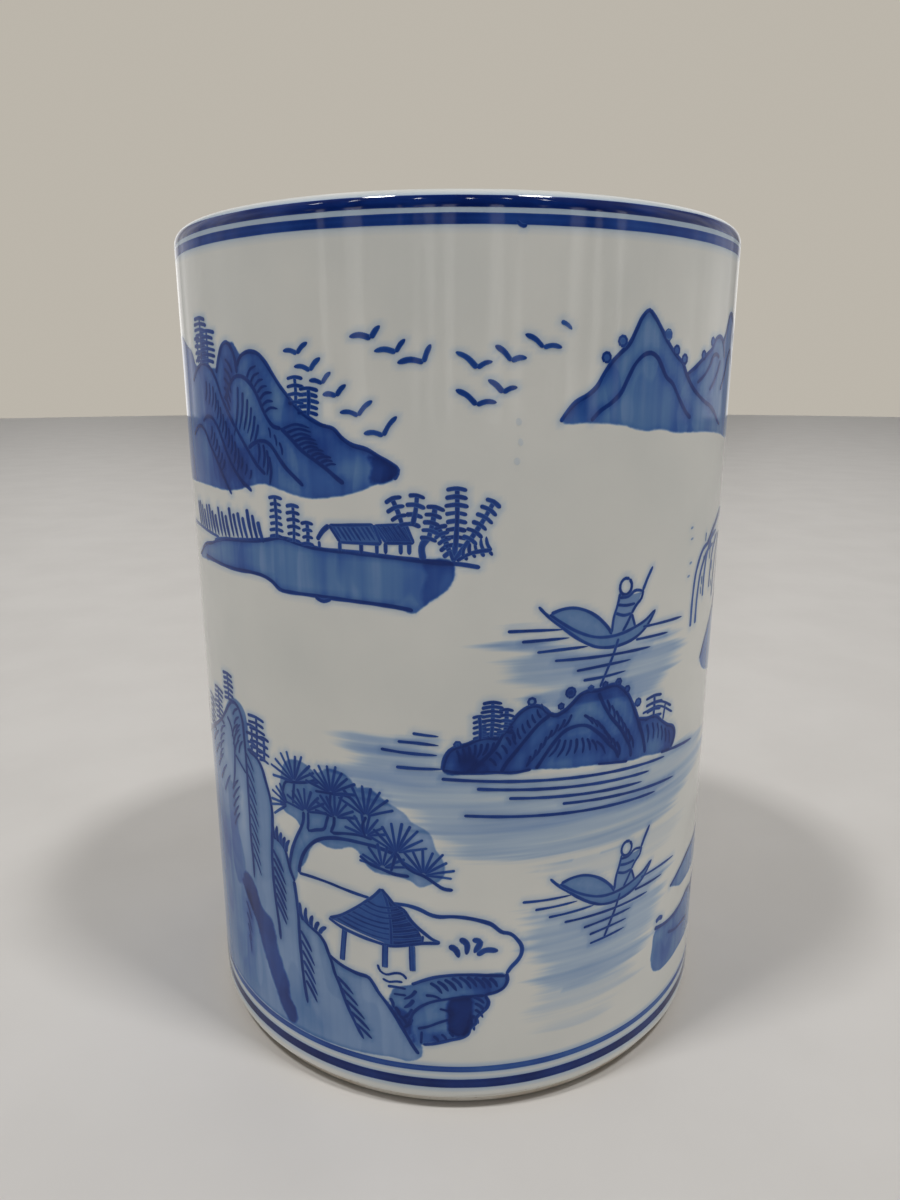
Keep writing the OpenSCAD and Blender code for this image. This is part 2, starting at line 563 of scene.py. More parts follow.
def fir(foot, top, reach, twigs, bare=0.25, wide=0.74, ink=DARK):
    """A thin trunk with level twigs that droop at their tips; bare is the part of the trunk below them."""
    foot, top = np.array(foot, float), np.array(top, float)
    trunk = top - foot
    up = trunk / np.hypot(*trunk)
    aside = np.array([up[1], -up[0]])
    stroke([foot, foot + trunk * 0.5 + aside * 0.15, top], wide * 1.1, ink)
    for k in range(twigs):
        middle = foot + trunk * (1 - (1 - bare) * k / max(1, twigs - 1) * 0.98)
        left = reach * hand.uniform(0.42, 0.56)
        right = reach * hand.uniform(0.42, 0.56)
        stroke([middle - aside * left - up * 0.35, middle, middle + aside * right - up * 0.35], wide, ink)


def gull(left, middle, right, wide=1.0):
    """Two curved wings that meet at the body."""
    left, middle, right = np.array(left), np.array(middle), np.array(right)
    for tip in (left, right):
        lift = np.array([0, 0.11 * np.hypot(*(tip - middle))])
        stroke([middle, (tip + middle) / 2 + lift, tip], wide, SOFT_INK + 0.4, head=0.5, tail=1.3)


def bush(s, z, size, middle=2.3):
    """A round bush: a dab of thinner cobalt with a curl of the brush round it."""
    stroke([(s - 0.7 * size, z), (s + 0.7 * size, z)], 1.7 * size, middle, head=0.8 * size, tail=0.8 * size)
    turns = np.linspace(math.radians(-120), math.radians(240), 8)
    stroke([(s + 0.75 * size * math.cos(a), z + 0.75 * size * math.sin(a)) for a in turns],
           0.62, head=0.2, tail=0.2)


def ripple(s0, z0, s1, z1, wide=0.65, ink=DARK):
    """A long level line on water, pressed at its start."""
    rise = hand.uniform(-0.12, 0.12)
    stroke([(s0, z0), (s0 * 0.6 + s1 * 0.4, z0 * 0.6 + z1 * 0.4 + rise), (s1, z1)], wide, ink, tail=4)


print("figures:", [figure.__name__ for figure in (comb, fir, gull, bush, ripple)])

# %% [markdown]
# ## The far mountain
#
# It closes the view on the left. Its wash is laid first: one outline for the whole range, deeper at the
# foot and almost black at the tip that reaches into the water. The ridges are drawn over it, and each has
# a comb of short strokes on its shaded side.

# %% Far mountain, wash
wash([(-100, 136), (-96, 150), (-90, 160), (-84, 165), (-75, 165), (-70, 163), (-67, 162), (-64, 159.5),
      (-60, 160), (-56, 159), (-53.5, 159), (-52, 162.5), (-49.5, 163.8), (-47, 163.6), (-45.2, 161.5),
      (-42, 161.9), (-38.5, 160.3), (-36, 157.5), (-34, 155), (-31, 152), (-28, 149.8), (-23, 148),
      (-20, 145.3), (-15.5, 144), (-12, 142), (-10.4, 140.8), (-12, 138.8), (-15, 138), (-19.5, 136.2),
      (-24, 135.4), (-28.5, 134.9), (-33, 135.5), (-36.5, 136.3), (-40, 137), (-44, 136.3), (-48, 135.3),
      (-52, 134.8), (-62, 135), (-76, 134.9), (-90, 135)], 2.2)
patch([(-16.6, 143.4), (-14, 143), (-11.8, 141.9), (-10.5, 141), (-10.8, 140), (-12, 138.8), (-14.5, 138.2),
       (-16.2, 138.5), (-15.6, 141)], 1.3)
for s, z, wide, high, more in [
    (-30, 137.6, 7, 2.4, -0.2), (-20, 140.6, 5, 2.4, -0.6), (-35.6, 153, 1.8, 4, -0.7),
    (-43, 152, 2.4, 5, -0.5), (-50, 156, 2.6, 4, 0.5), (-46, 141, 3, 4, 0.6), (-25, 145.6, 3, 2.2, 0.4),
    (-58, 138, 8, 3, 0.3), (-38, 141, 2, 3, -0.3),
]:
    pool(s, z, wide, high, more)
print("points inside a wash:", int((wash_edge > 0).sum()))

# %% Far mountain, ridges
stroke([(-83, 165.8), (-75, 165.2), (-70, 163.3), (-67, 162.3), (-65, 160)], 0.7, SOFT_INK)
for line in [
    [(-54, 158), (-52.6, 161), (-51, 163.3), (-49.3, 163.8), (-47.8, 162.6), (-46.8, 160.5),
     (-46.4, 157.9)],
    [(-46.4, 159.2), (-45, 161), (-42.5, 161.9), (-40, 161.5), (-38.3, 160.2), (-36.5, 158),
     (-34.5, 155.5), (-32, 153), (-30, 151), (-28, 149.8), (-25.5, 148.6), (-23, 148), (-21.5, 146.5),
     (-19.5, 145.2), (-16.5, 144.4), (-14, 143), (-12, 142), (-10.6, 140.9), (-11.4, 139)],
    [(-51, 153), (-49, 155.9), (-46.5, 157.4), (-44.5, 157.2), (-42.5, 156), (-40.5, 153.5),
     (-39.3, 151.2), (-38, 149.3), (-36.5, 148), (-34.8, 147.8)],
    [(-34.8, 147.8), (-32.5, 146), (-30, 143.8), (-27.5, 142.3), (-25, 140.8), (-22.5, 138.9),
     (-21.2, 138)],
]:
    stroke(line, 0.85)
stroke([(-67, 156.5), (-63.5, 159), (-60, 160), (-57, 159.3), (-54.5, 157), (-52.5, 153.5), (-50, 150),
        (-47, 146.5), (-44, 143), (-41.5, 140.3), (-39.5, 138.9)], 0.8)
stroke([(-44, 143.8), (-42, 144.9), (-40, 145.3), (-38.3, 145), (-37, 143.9), (-35.5, 142), (-33.8, 140.2),
        (-32, 138.8), (-30, 137.2)], 0.85)
stroke([(-62, 148.3), (-60, 149.3), (-57.5, 149.3), (-55, 147.5), (-53, 144.5), (-51.5, 142), (-50, 140),
        (-48, 138), (-46, 136.5), (-44.5, 135.8), (-43.8, 135.3)], 0.8)
stroke([(-69, 145.3), (-66, 147), (-63.5, 147.3), (-61, 146), (-59, 143.5), (-57, 141.5), (-55, 139),
        (-53, 136.5), (-51.5, 134.8), (-50.8, 134.1)], 0.8)
print("ridges so far:", len(drawn))

# %% Far mountain, shading
comb([(-50.2, 160.6), (-51, 157), (-51.4, 153.5)], 5, (2.3, -2.8), (2.2, -3.2), 0.65)
comb([(-43.4, 157), (-41, 155), (-39.6, 152.2), (-38.9, 150.6)], 7, (2.7, 2.1), (3.2, 0.7), 0.6, bend=0.16)
comb([(-46.4, 155.4), (-44, 153.6), (-42, 150.6), (-40.8, 148.4)],
     6, (-1.9, -8.5), (-1.6, -3.8), 0.65, bend=0.05)
comb([(-34.2, 147.8), (-31.5, 145.3), (-28, 143), (-25, 141.1)], 11, (5.6, 0.2), (2.4, 0.4), 0.6, bend=0.12)
comb([(-59, 156.5), (-56, 155.5), (-53.6, 152), (-50.6, 147.6), (-47.5, 143.6)],
     12, (-1, -4), (-0.8, -4.4), 0.6)
comb([(-57.5, 147.6), (-55.4, 144.8), (-52.8, 141)], 6, (-1.2, -3), (-1.6, -2.4), 0.6)
comb([(-41, 144.8), (-39.6, 144.6), (-38.2, 142.4)], 4, (-0.4, -4.3), (-0.2, -5), 0.7, bend=0.08)
comb([(-48.4, 144.6), (-46.2, 141.8), (-43.6, 139.6)], 5, (-0.8, -3), (-0.8, -2.2), 0.6)
comb([(-38, 147.9), (-36.6, 146.6), (-35.4, 145.2)], 3, (0.4, -2.2), (0.6, -2.2), 0.6)
for foot, top, reach, twigs in [
    ((-60.6, 160), (-60.2, 168.8), 6.4, 8), ((-57.4, 159.6), (-57.2, 166.2), 6.6, 6),
    ((-62.6, 160), (-62.4, 165), 3.4, 4), ((-31, 152), (-31, 157.2), 3.8, 4),
    ((-28.3, 150.2), (-28, 155.2), 4.6, 5),
]:
    fir(foot, top, reach, twigs, bare=0.12)
keep_lines("far_mountain_lines")

# %% [markdown]
# ## Birds and near peaks
#
# Two loose flocks cross the sky between the ranges. The gulls on the left rise to the right, and those on
# the right are tipped the other way. Behind them peaks stand up out of mist, so their wash fades out
# below in an uneven edge without an outline. Small loops down the slopes are bushes.

# %% Two flocks
for left, middle, right in [
    ((-33.4, 161.8), (-30.2, 161.3), (-27.8, 163.2)), ((-31, 159), (-27.5, 158.3), (-25.2, 160.5)),
    ((-27.8, 156.5), (-25, 156), (-23.2, 158)), ((-25, 154), (-22.2, 153.8), (-20.2, 155.8)),
    ((-21.6, 150.9), (-18, 150.4), (-15.2, 153)), ((-17, 147.2), (-13.3, 146.9), (-10.7, 150.3)),
    ((-19.3, 164), (-15.2, 163.7), (-13.5, 165.8)), ((-14.7, 161.5), (-10.7, 161.3), (-9, 163.5)),
    ((-10.5, 159.5), (-5.8, 159.6), (-4.5, 162.6)), ((-0.2, 161.3), (3.6, 158.6), (6.3, 159.7)),
    ((6.7, 162.4), (9.6, 159.8), (12.4, 160.3)), ((12, 164.3), (15.4, 162.1), (18.9, 162.1)),
    ((-0.2, 154.9), (3.5, 152.3), (7.1, 152.7)), ((5.5, 156.6), (8.2, 154.4), (10.8, 155.3)),
]:
    gull(left, middle, right)
stroke([(18.6, 166.5), (19.7, 166.1), (20.7, 165.2)], 0.9, SOFT_INK, tail=1)
keep_lines("gull_lines")

# %% Near peaks
wash([(19.2, 149.3), (21, 151.8), (24.5, 154), (27, 156.2), (29, 159.5), (33, 163), (36, 168),
      (37.5, 169), (39, 168), (43.5, 163), (48, 159.5), (50, 157.8), (55, 160.2), (60, 162.8), (62, 165),
      (66, 164.8), (69, 167), (72, 170), (76, 168.8), (80, 164), (86, 158), (93, 153), (99, 148),
      (96, 144.5), (86, 144.8), (78, 144), (68, 145.4), (60, 146.1), (53, 146.3), (47, 146.5),
      (42, 147.3), (38, 147.1), (32, 148.4), (25, 148.9)], 1.75)
pool(23, 151.5, 3.5, 3, 1.2)
pool(29.5, 158.5, 2, 3, 0.4)
pool(50, 150, 4, 4, 0.45)
pool(44, 158, 3, 3, 0.25)
pool(38, 151, 6, 3, -0.15)
stroke([(19, 149.2), (20.3, 151), (22, 152.7), (24.5, 154), (26, 155.2), (27.5, 157.5), (29, 159.5),
        (31, 161.3), (33, 163), (34.5, 165.5), (36, 168), (37.4, 169), (38.8, 168), (41, 165.7),
        (43.5, 163), (46, 161), (48.3, 159.5), (49.5, 157.8), (52, 155.3), (55, 153.5), (58, 152.2),
        (61, 151.3), (64, 149.8), (66.5, 148), (68.5, 147.2)], 0.9, tail=3)
stroke([(25.2, 149.3), (27, 151), (29.5, 152.5), (31.5, 154.2), (33, 156.8), (35, 159.8), (37, 161.2),
        (38.8, 161.4), (40.3, 160.6), (41.8, 158.8), (43.2, 157), (45, 156), (46.5, 154.3), (48.5, 152),
        (51, 149.8), (52.2, 149.2)], 0.9)
stroke([(50, 157.7), (52.5, 158.8), (55, 160.2), (57.5, 161.5), (60, 162.8), (61.5, 164.5), (64, 165.2),
        (66, 164.6), (67.5, 163), (68.5, 161)], 0.85)
stroke([(54, 156), (57, 157.5), (59.5, 159.5), (61, 161.3), (63, 161.6), (64.5, 161)], 0.8)
stroke([(60, 154.5), (62, 156), (64, 158), (65.5, 160.5)], 0.8)
stroke([(67, 163.5), (69, 167), (71, 169.8), (73.5, 170), (76, 168.8), (80, 164), (86, 158), (93, 153),
        (98, 148.6)], 0.85, tail=3)
stroke([(67, 154.5), (70, 158), (72.5, 161.8), (75, 162.6), (78, 160), (81, 155.5), (85, 152)], 0.85, tail=3)
for s, z, size in [
    (28, 160.5, 1.15), (31.4, 163.4, 1.2), (43, 164.8, 1.25), (45.8, 162, 1.15), (48.6, 160.4, 1.15),
    (56, 161.3, 1.1), (60, 164, 1.1), (79.5, 165.6, 1.1), (83, 162, 1.1), (88, 157.4, 1),
]:
    bush(s, z, size)
keep_lines("near_peak_lines")

# %% [markdown]
# ## The village shore
#
# A tongue of land runs in from the left with reeds, firs and two low houses. Its top and bottom edges are
# long brush lines, the flat between them is one wash laid in upright pulls, and its open end is darker.

# %% Shore
wash([(-72.5, 118.4), (-69, 120.4), (-66, 121.8), (-60, 123), (-55, 124.3), (-45, 125.3), (-37, 126.6),
      (-31, 125.9), (-20, 125.2), (-8, 124.3), (-0.5, 123.6), (-0.4, 121.2), (-1.5, 118.8), (-4, 117),
      (-6.5, 115), (-8, 113.8), (-10, 114.4), (-20, 115.5), (-30, 115.8), (-37, 116), (-39, 117.2),
      (-41.5, 118), (-50, 118.2), (-60, 118.4)], 1.8)
patch([(-6.6, 124), (-5.6, 121), (-6.6, 118.5), (-6.2, 115.6), (-3.5, 117.2), (-1.4, 118.8), (-0.2, 121.2),
       (-0.6, 123.6)], 0.65)
for s, wide, more in [
    (-50, 2.5, 0.35), (-27, 2, 0.4), (-22, 2, 0.25), (-34, 4, -0.3), (-43, 3, -0.2), (-15, 3, -0.25),
]:
    pool(s, 121, wide, 9, more)
stroke([(-60.4, 123.2), (-57, 124), (-50, 124.8), (-45, 125.3), (-40, 126), (-37, 126.7), (-34.5, 126.6),
        (-31, 125.9), (-27, 125.4), (-20, 125.2), (-14, 124.8), (-8, 124.3), (-3, 123.8), (1, 123.5),
        (4.4, 122.9)], 0.95)
stroke([(-55, 124.4), (-58, 123.8), (-60, 123.1), (-63, 122.3), (-66, 121.8), (-69, 120.5), (-71.5, 118.9),
        (-73, 118.2)], 0.7)
stroke([(-79, 125.2), (-70, 125.2), (-64, 124.8), (-58, 124.3)], 0.7, SOFT_INK)
stroke([(-67, 118.9), (-60, 118.6), (-55, 118.4), (-50, 118.4), (-45, 118.6), (-41, 118.2), (-39, 117.4),
        (-37.5, 116.3), (-34, 116), (-30, 116), (-25, 115.9), (-20, 115.7), (-15, 115.4), (-11, 115),
        (-8.2, 114.5)], 0.85)
stroke([(-28.4, 115.8), (-26.6, 115.1), (-24.8, 115.7)], 0.9)
for k, tall in enumerate([6, 6.3, 5.6, 4.8, 6, 6.2, 5, 4.4, 6.2, 5.4, 4.8, 6.1, 5, 5.4, 4.6, 6.4, 5.4, 4.2]):
    foot_s = -69.6 + 1.66 * k
    foot_z = 124.7 if foot_s < -52 else 125.2
    stroke([(foot_s - 1.2, foot_z + tall), (foot_s - 0.8, foot_z + tall * 0.6), (foot_s + 0.2, foot_z)],
           1.1, tail=3.2)
for foot, top, reach, twigs in [
    ((-37.3, 126.6), (-37.3, 134.7), 3.5, 7), ((-32.9, 126.2), (-32.8, 133.4), 3.5, 6),
    ((-29.6, 126), (-29.6, 130.3), 2.9, 4),
]:
    fir(foot, top, reach, twigs, bare=0.04)


print("lines on the bare shore:", len(drawn))

# %% [markdown]
# ### Houses
#
# A hut is seen from its gable end: a light gable, a roof slope filled with dark cobalt and combed with
# thatch lines, and short posts down to the bank.

# %% Houses and the trees beside them
def hut(s, z, wide, gable=True):
    """A thatched roof on posts. (s, z) is the left end of its ridge and wide is the ridge's length."""
    ridge = [(s, z), (s + wide, z + 0.5)]
    eaves = [(s + 2.2, z - 3.1), (s + wide + 1.5, z - 3)]
    fill(ridge, eaves, 2.1 if gable else 3.1)
    stroke(ridge, 0.7)
    stroke(eaves, 0.7)
    stroke([ridge[0], eaves[0]], 0.7)
    stroke([ridge[1], eaves[1]], 0.7)
    comb([(s + 0.7, z), (s + wide - 0.6, z + 0.4)], round(wide / 1.05), (2, -2.8), (1.9, -2.9), 0.6, bend=0)
    if gable:
        stroke([(s - 2.8, z - 3), (s - 1.5, z - 1.2), (s, z)], 1.1)
        stroke([(s - 2.4, z - 3.2), (s - 2.3, z - 4.6)], 0.85)
    for post in (s + 2.1, s + wide * 0.5 + 2, s + wide + 0.6):
        stroke([(post, z - 3), (post, z - 5.2)], 0.85)


hut(-24.6, 130.1, 9)
hut(-15.4, 130.4, 6, gable=False)
for foot, top, reach, twigs in [
    ((-10, 130.6), (-11.9, 135.6), 3.5, 4), ((-8.1, 130.8), (-7.2, 136.3), 3.4, 4),
    ((-5.2, 128.2), (-3.9, 134.2), 3.5, 5), ((-0.2, 126.8), (0.1, 137.6), 4.1, 8),
    ((2.4, 128), (6.8, 135.1), 3.6, 6), ((-1.2, 125.6), (-3.4, 130.4), 3.2, 5),
]:
    fir(foot, top, reach, twigs, bare=0.02, wide=0.86)
stroke([(-5.2, 128.6), (-6.4, 127), (-6.2, 124.2)], 1.3)
stroke([(-0.2, 127.4), (-0.6, 124)], 1.2)
stroke([(-1.2, 126), (-0.5, 124.3), (0.2, 125.2), (2.4, 128.2)], 0.9)
stroke([(0, 124.2), (2.6, 125.6), (6.4, 126.2)], 0.8)
comb([(1.2, 125), (3.4, 125.8), (6.4, 126)], 5, (0.4, 2.1), (-0.9, 2.6), 0.7)
comb([(1.4, 125), (3.6, 125.6), (6, 125.9)], 4, (0.5, -0.7), (0.6, -0.8), 0.7)
keep_lines("village_shore_lines")

# %% [markdown]
# ## Two fishing boats
#
# Both boats are the same figure: a curved hull, a leaf of matting for a roof, and a standing man in a
# loose robe who leans on a pole. The figure has no face, only a ring for the head. Everything is placed
# from one corner, so the second boat is the first one moved.

# %% Boats
def boat(right, up):
    """A punt with its ripples, moved right and up from where the upper boat lies."""
    def at(*points):
        return [(s + right, z + up) for s, z in points]

    gunwale = at((18, 113.2), (21, 111), (24.5, 109), (28, 107.7), (31.5, 107.3), (35, 107.6),
                 (38, 108.3), (41, 109.3), (43.6, 110.9))
    keel = at((15.7, 114.9), (17.5, 113), (20, 111), (22.5, 109), (25.5, 107), (28.5, 105.6),
              (31.5, 105.1), (34.5, 105.2), (37.5, 105.8), (40, 106.9), (42, 108.5), (43.2, 110),
              (43.9, 111.1))
    matting = at((18.3, 113.3), (20.5, 114), (23, 114.1), (25.5, 113.4), (28, 112), (30, 110.3),
                 (31.5, 108.6), (32, 107.7))
    fill(gunwale, keel, 1.5)
    fill(matting, gunwale[:6], 1.5)
    fill(at((33.6, 115.2), (36, 115.2), (39.6, 115.4)), at((32.4, 111.4), (35, 111.2), (37.4, 111.4)), 1.2)
    fill(at((32.3, 111.4), (34.6, 111.2), (37, 111.4)), at((32, 107.6), (35, 107.6), (38.2, 108.3)), 1.2)
    stroke(keel, 0.75, head=0.8)
    stroke(gunwale, 0.75)
    stroke(matting, 0.75)
    turns = np.linspace(0, 2 * math.pi, 9)
    stroke(at(*[(35.1 + 1.55 * math.cos(a + 1), 117.1 + 1.75 * math.sin(a + 1)) for a in turns]), 0.75)
    for fold in [
        ((33.7, 115.9), (33.2, 113.7), (32.4, 111.3), (32, 108)),
        ((33.6, 115), (36, 115), (37.6, 116), (39.8, 115.6)),
        ((39.9, 115.8), (39.6, 114.3), (38, 112.8), (36.9, 111.3)),
        ((33.2, 113.6), (35.5, 113.2), (37.8, 113.3)), ((32.6, 112), (35, 111.2), (37, 111.4)),
        ((36.9, 111.2), (35.8, 109.3), (34.7, 107.8)), ((37, 111.2), (37.6, 109.8), (38.1, 108.4)),
    ]:
        stroke(at(*fold), 0.7)
    stroke(at((42.4, 120.3), (41, 118.1), (39.8, 115.7)), 0.85, head=1)
    stroke(at((33.8, 106.6), (32.5, 103), (31, 99.8), (29.7, 97)), 0.7)
    for line in [
        ((9.7, 110.3), (20.8, 110)), ((12.5, 108.1), (22.3, 108.2)), ((15.6, 105.8), (26.5, 106)),
        ((19.3, 103.8), (43, 103.3)), ((24.1, 101.2), (37.4, 101.6)), ((25.7, 99), (36.1, 99.4)),
        ((40.4, 108), (54, 107.7)), ((38.5, 105.6), (48.7, 105.3)),
    ]:
        (s0, z0), (s1, z1) = at(*line)
        ripple(s0, z0, s1, z1)


boat(0, 0)
boat(4.1, -58.9)
ripple(30, 37.8, 39.8, 38.4)
keep_lines("boat_lines")
water([(6, 108.6), (9, 109.4), (14, 108.8), (20, 106.8), (27, 105), (36, 105), (44, 105.6), (51, 104.8),
       (54, 102), (53, 98.5), (50, 96), (46, 93.8), (41, 92.5), (30, 94), (20, 92), (14, 95.5),
       (12, 98.4), (9, 100), (9.6, 103.6), (11, 105)], 0.72)
water([(14.5, 48.5), (20, 48), (28, 47), (38, 47), (48, 49), (54, 47.4), (53, 42), (51, 38.5), (50, 34),
       (47, 30.8), (43, 28.6), (34, 27.8), (24, 28.2), (18, 29.7), (16.5, 34), (15.5, 40)], 0.55)
water([(18, 26.4), (30, 26.8), (42, 26.2), (44, 24.4), (36, 23), (24, 22.6), (17, 24)], 0.24)
water([(17, 20.8), (30, 21.4), (37, 20.6), (34, 19), (22, 18.8)], 0.16)
pool(30, 34, 14, 4, 0.2, water_layer)

# %% [markdown]
# ## The island
#
# The darkest rock of the scene lies in the middle of the lake. The brush was pressed along its foot on
# the left, where the wash is almost as dark as the lines. The water below it is pale, in level sweeps,
# with a few ruled lines.

# %% Island
wash([(-2.8, 81.8), (-2.3, 84.5), (-1.5, 86), (0, 87), (3.5, 88.2), (6, 88.9), (8.3, 88.7), (10.8, 91.8),
      (12.3, 93.6), (14.3, 94.9), (16.3, 94.9), (17.8, 93.8), (19.3, 92.3), (21.5, 93), (23.5, 94.6),
      (25, 96), (29.5, 96.6), (33.5, 96.9), (35.5, 95.8), (37, 94.3), (39.3, 90.3), (40.5, 88),
      (43, 87.4), (46.3, 87.2), (48.5, 85.5), (51, 83.8), (53.3, 82.8), (54.3, 81.5), (54.1, 79.2),
      (53, 77.7), (50, 77.8), (46, 78.2), (43, 78.8), (40, 78.8), (36, 79.3), (32, 79.8), (28, 80.3),
      (24, 80.4), (19, 81), (15, 81.3), (11, 80.9), (8, 81.2), (4, 81.2)], 2.1)
patch([(50.2, 84.2), (53.2, 82.8), (54.4, 81.4), (54.1, 79), (53, 77.6), (50.4, 77.8), (50, 80.5)], 0.5)
pool(3, 83.5, 4.5, 3, 1.2)
pool(12, 82.5, 5, 3.5, 0.6)
pool(35, 82, 5, 5, 0.3)
pool(26, 92, 5, 2.5, -0.35)
pool(15, 91, 3, 4, -0.2)
pool(46, 82, 5, 4, -0.3)
stroke([(-2.8, 82), (-2.3, 84.5), (-1.5, 86), (0, 87), (1.8, 87.4), (3.5, 88.2), (6, 88.9), (8.3, 88.7),
        (9.3, 89.8), (10.8, 91.8), (12.3, 93.6), (14.3, 94.8), (16.3, 94.8), (17.8, 93.8), (18.9, 92.5)],
       0.95)
stroke([(18.6, 92.9), (19.8, 92.4), (21.5, 93), (23.5, 94.5), (25, 96), (27, 96.6), (29.5, 96.4),
        (31.5, 96.8), (33.5, 96.9), (35.5, 95.8), (37, 94.3), (38.3, 92.3), (39.3, 90.3), (40.3, 88.3),
        (41.2, 86), (42.3, 83.5), (43, 81), (43.2, 79.5)], 0.95)
stroke([(40.6, 87.9), (43, 87.4), (46.3, 87.2), (48.5, 85.5), (51, 83.8), (53.3, 82.8), (54.3, 81.5),
        (54.1, 79.2), (53, 77.8)], 0.85)
stroke([(-2.8, 82), (0, 81.5), (4, 81.3), (8, 81.3), (11, 81), (15, 81.4)], 0.7)
stroke([(30, 80.2), (34, 79.6), (38, 79)], 0.6)
for line in [
    [(9.3, 90), (8, 87.2), (6, 84.8), (3.6, 82.6), (2, 81.6)],
    [(18.6, 92.6), (16.4, 91), (14, 88.3), (11.5, 85.2), (9.5, 82.6), (8.8, 81.2)],
    [(16, 81.4), (18, 84.4), (20, 87), (22, 88.8), (24.5, 89.5), (27, 89.2), (29, 87.8), (31, 86),
     (33, 83.8), (34.5, 82.3), (35.4, 80.4)],
    [(29.5, 95.8), (31, 92.8), (33, 89.8), (35.5, 87), (37.5, 84), (38.7, 81.6), (38.9, 79.8)],
]:
    stroke(line, 0.85)
comb([(0, 86.3), (3.5, 87.4), (7.4, 87.8)], 7, (0.6, -3), (-1.6, -3), 0.65)
comb([(10.6, 90.4), (8.6, 86.8), (6.4, 84.4)], 5, (0.9, -2.4), (1.4, -1.6), 0.65)
comb([(17.9, 93.2), (14.6, 90.2), (11.8, 87)], 7, (-1, 1.9), (-0.6, 2.4), 0.6)
comb([(23.4, 92.2), (19.8, 90), (16.6, 86.4), (14.8, 84.4)], 8, (-1.7, -2.5), (-1, -2.6), 0.65)
comb([(26.2, 91.6), (29, 90), (32, 86.6), (34.6, 84.2)], 8, (2.1, -2.2), (1, -3), 0.65)
comb([(21, 87.2), (23, 86.8), (26, 86.8), (29.4, 85.4)], 8, (-2.4, -3.6), (2.2, -3), 0.65)
comb([(31.6, 94), (34.2, 91), (36.8, 87.4), (38.4, 84.8)], 7, (0.9, -3.4), (1.1, -3.2), 0.65)
comb([(43.4, 86), (46, 85.8), (49, 84), (51.6, 82.4)], 6, (0.6, -4.6), (0.6, -3.8), 0.6)
for s, z, size, middle in [
    (14.8, 95.8, 1.0, 1.0), (21, 94.2, 0.8, 3.0), (23, 96.8, 1.35, 3.2), (27.6, 97, 0.8, 3.2),
    (31, 97.3, 0.8, 3.2), (34.4, 97.3, 0.95, 3.2), (36.8, 95.3, 0.9, 2.4), (40.2, 91.7, 1.1, 2.4),
    (0.2, 87.4, 0.9, 3.0),
]:
    bush(s, z, size, middle)
for foot, top, reach, twigs in [
    ((4.6, 88.4), (4.4, 93.4), 3, 5), ((6.8, 88.8), (7, 96.2), 4.4, 8), ((9.4, 89.4), (9.8, 94.6), 3.2, 5),
    ((45.4, 86.8), (45.4, 92), 5.4, 4),
]:
    fir(foot, top, reach, twigs, bare=0.1)
for twig in [
    ((44, 90.3), (48, 90), (52, 88)), ((41.8, 88.8), (47, 89.2), (52.6, 86.4)),
    ((49, 85.6), (49.6, 89.4)),
]:
    stroke(twig, 0.6)
for s0, z0, s1, z1 in [
    (-8.7, 89.6, -3.5, 89.1), (-11.7, 87.7, -3.5, 87.2), (-15.2, 85.8, -3.8, 85.1),
    (-12.1, 82.2, -2.5, 82.2), (-3, 80.1, 50.5, 76.5), (49, 77.9, 64.2, 76.2), (4, 77.9, 45, 74.8),
    (10.5, 75.5, 42.7, 73), (22, 72.9, 55, 70.2), (1.5, 72.1, 47.6, 69.1),
]:
    ripple(s0, z0, s1, z1, 0.72)
keep_lines("island_lines")
water([(-25, 84.5), (-24, 88.4), (-14, 88.4), (-5, 87.4), (-2, 84), (-3, 80.8), (8, 79.4), (28, 77.6),
       (42, 76.6), (50, 77), (57, 78), (66, 76.5), (76, 73.5), (80, 70.5), (73, 68.4), (62, 66.5),
       (55, 62.5), (45, 60.6), (30, 60), (18, 60.8), (8, 61.6), (0, 63), (-2, 66), (-6, 69), (-8, 72.5),
       (-14, 74), (-24, 77), (-25, 80.6), (-21.6, 82.2)], 0.53)
water([(24, 58.8), (36, 59.4), (52, 59.6), (61, 58), (56, 55.4), (42, 54.4), (28, 55), (21, 57)], 0.15)
pool(-12, 78, 9, 2.5, 0.2, water_layer)
pool(18, 65, 16, 3.5, 0.3, water_layer)
pool(48, 68, 10, 4, 0.12, water_layer)
pool(32, 75.5, 20, 3, -0.28, water_layer)
pool(-17, 85, 6, 3.5, 0.35, water_layer)

# %% [markdown]
# ## The cliff
#
# The near bank fills the lower left corner. Its wash is pale, so the long upright cracks and their combs
# show well, and two soft dark patches run down into it. Firs stand along its top.

# %% Cliff
wash([(-122, 12), (-117, 26), (-110, 40), (-101, 54), (-92, 66), (-82, 73), (-74, 76), (-68, 79),
      (-63, 82), (-61, 85), (-58.5, 87.5), (-55, 88.4), (-52, 87), (-50.8, 84), (-50.5, 79), (-48, 77),
      (-46, 75), (-44, 70), (-43.2, 65), (-43.7, 60), (-41, 58.3), (-39.5, 56), (-38.3, 52.5),
      (-37.2, 49), (-36.8, 44), (-35, 41.5), (-31, 39.5), (-29.3, 37.5), (-28, 34.8), (-24, 33),
      (-19.3, 32.2), (-17, 29), (-14, 25), (-11, 20.5), (-9, 17.5), (-7.6, 16.5), (-7.6, 13.8),
      (-9.5, 12.4), (-14, 12.6), (-22, 12.1), (-60, 12), (-100, 12)], 1.2)
patch([(-57.2, 45), (-54.4, 45.2), (-51.6, 43.2), (-50.4, 40.6), (-49.4, 39), (-48, 38.2), (-46, 37.5),
       (-45.2, 36), (-44.3, 31), (-42.4, 26), (-41, 22), (-41, 19), (-39.4, 17), (-38.8, 14.8),
       (-39.6, 12.6), (-41.5, 12.4), (-43.6, 14.5), (-46, 19), (-48.5, 24), (-50.6, 29), (-52, 33),
       (-53.8, 36), (-56.4, 39), (-58.4, 42)], 2.1)
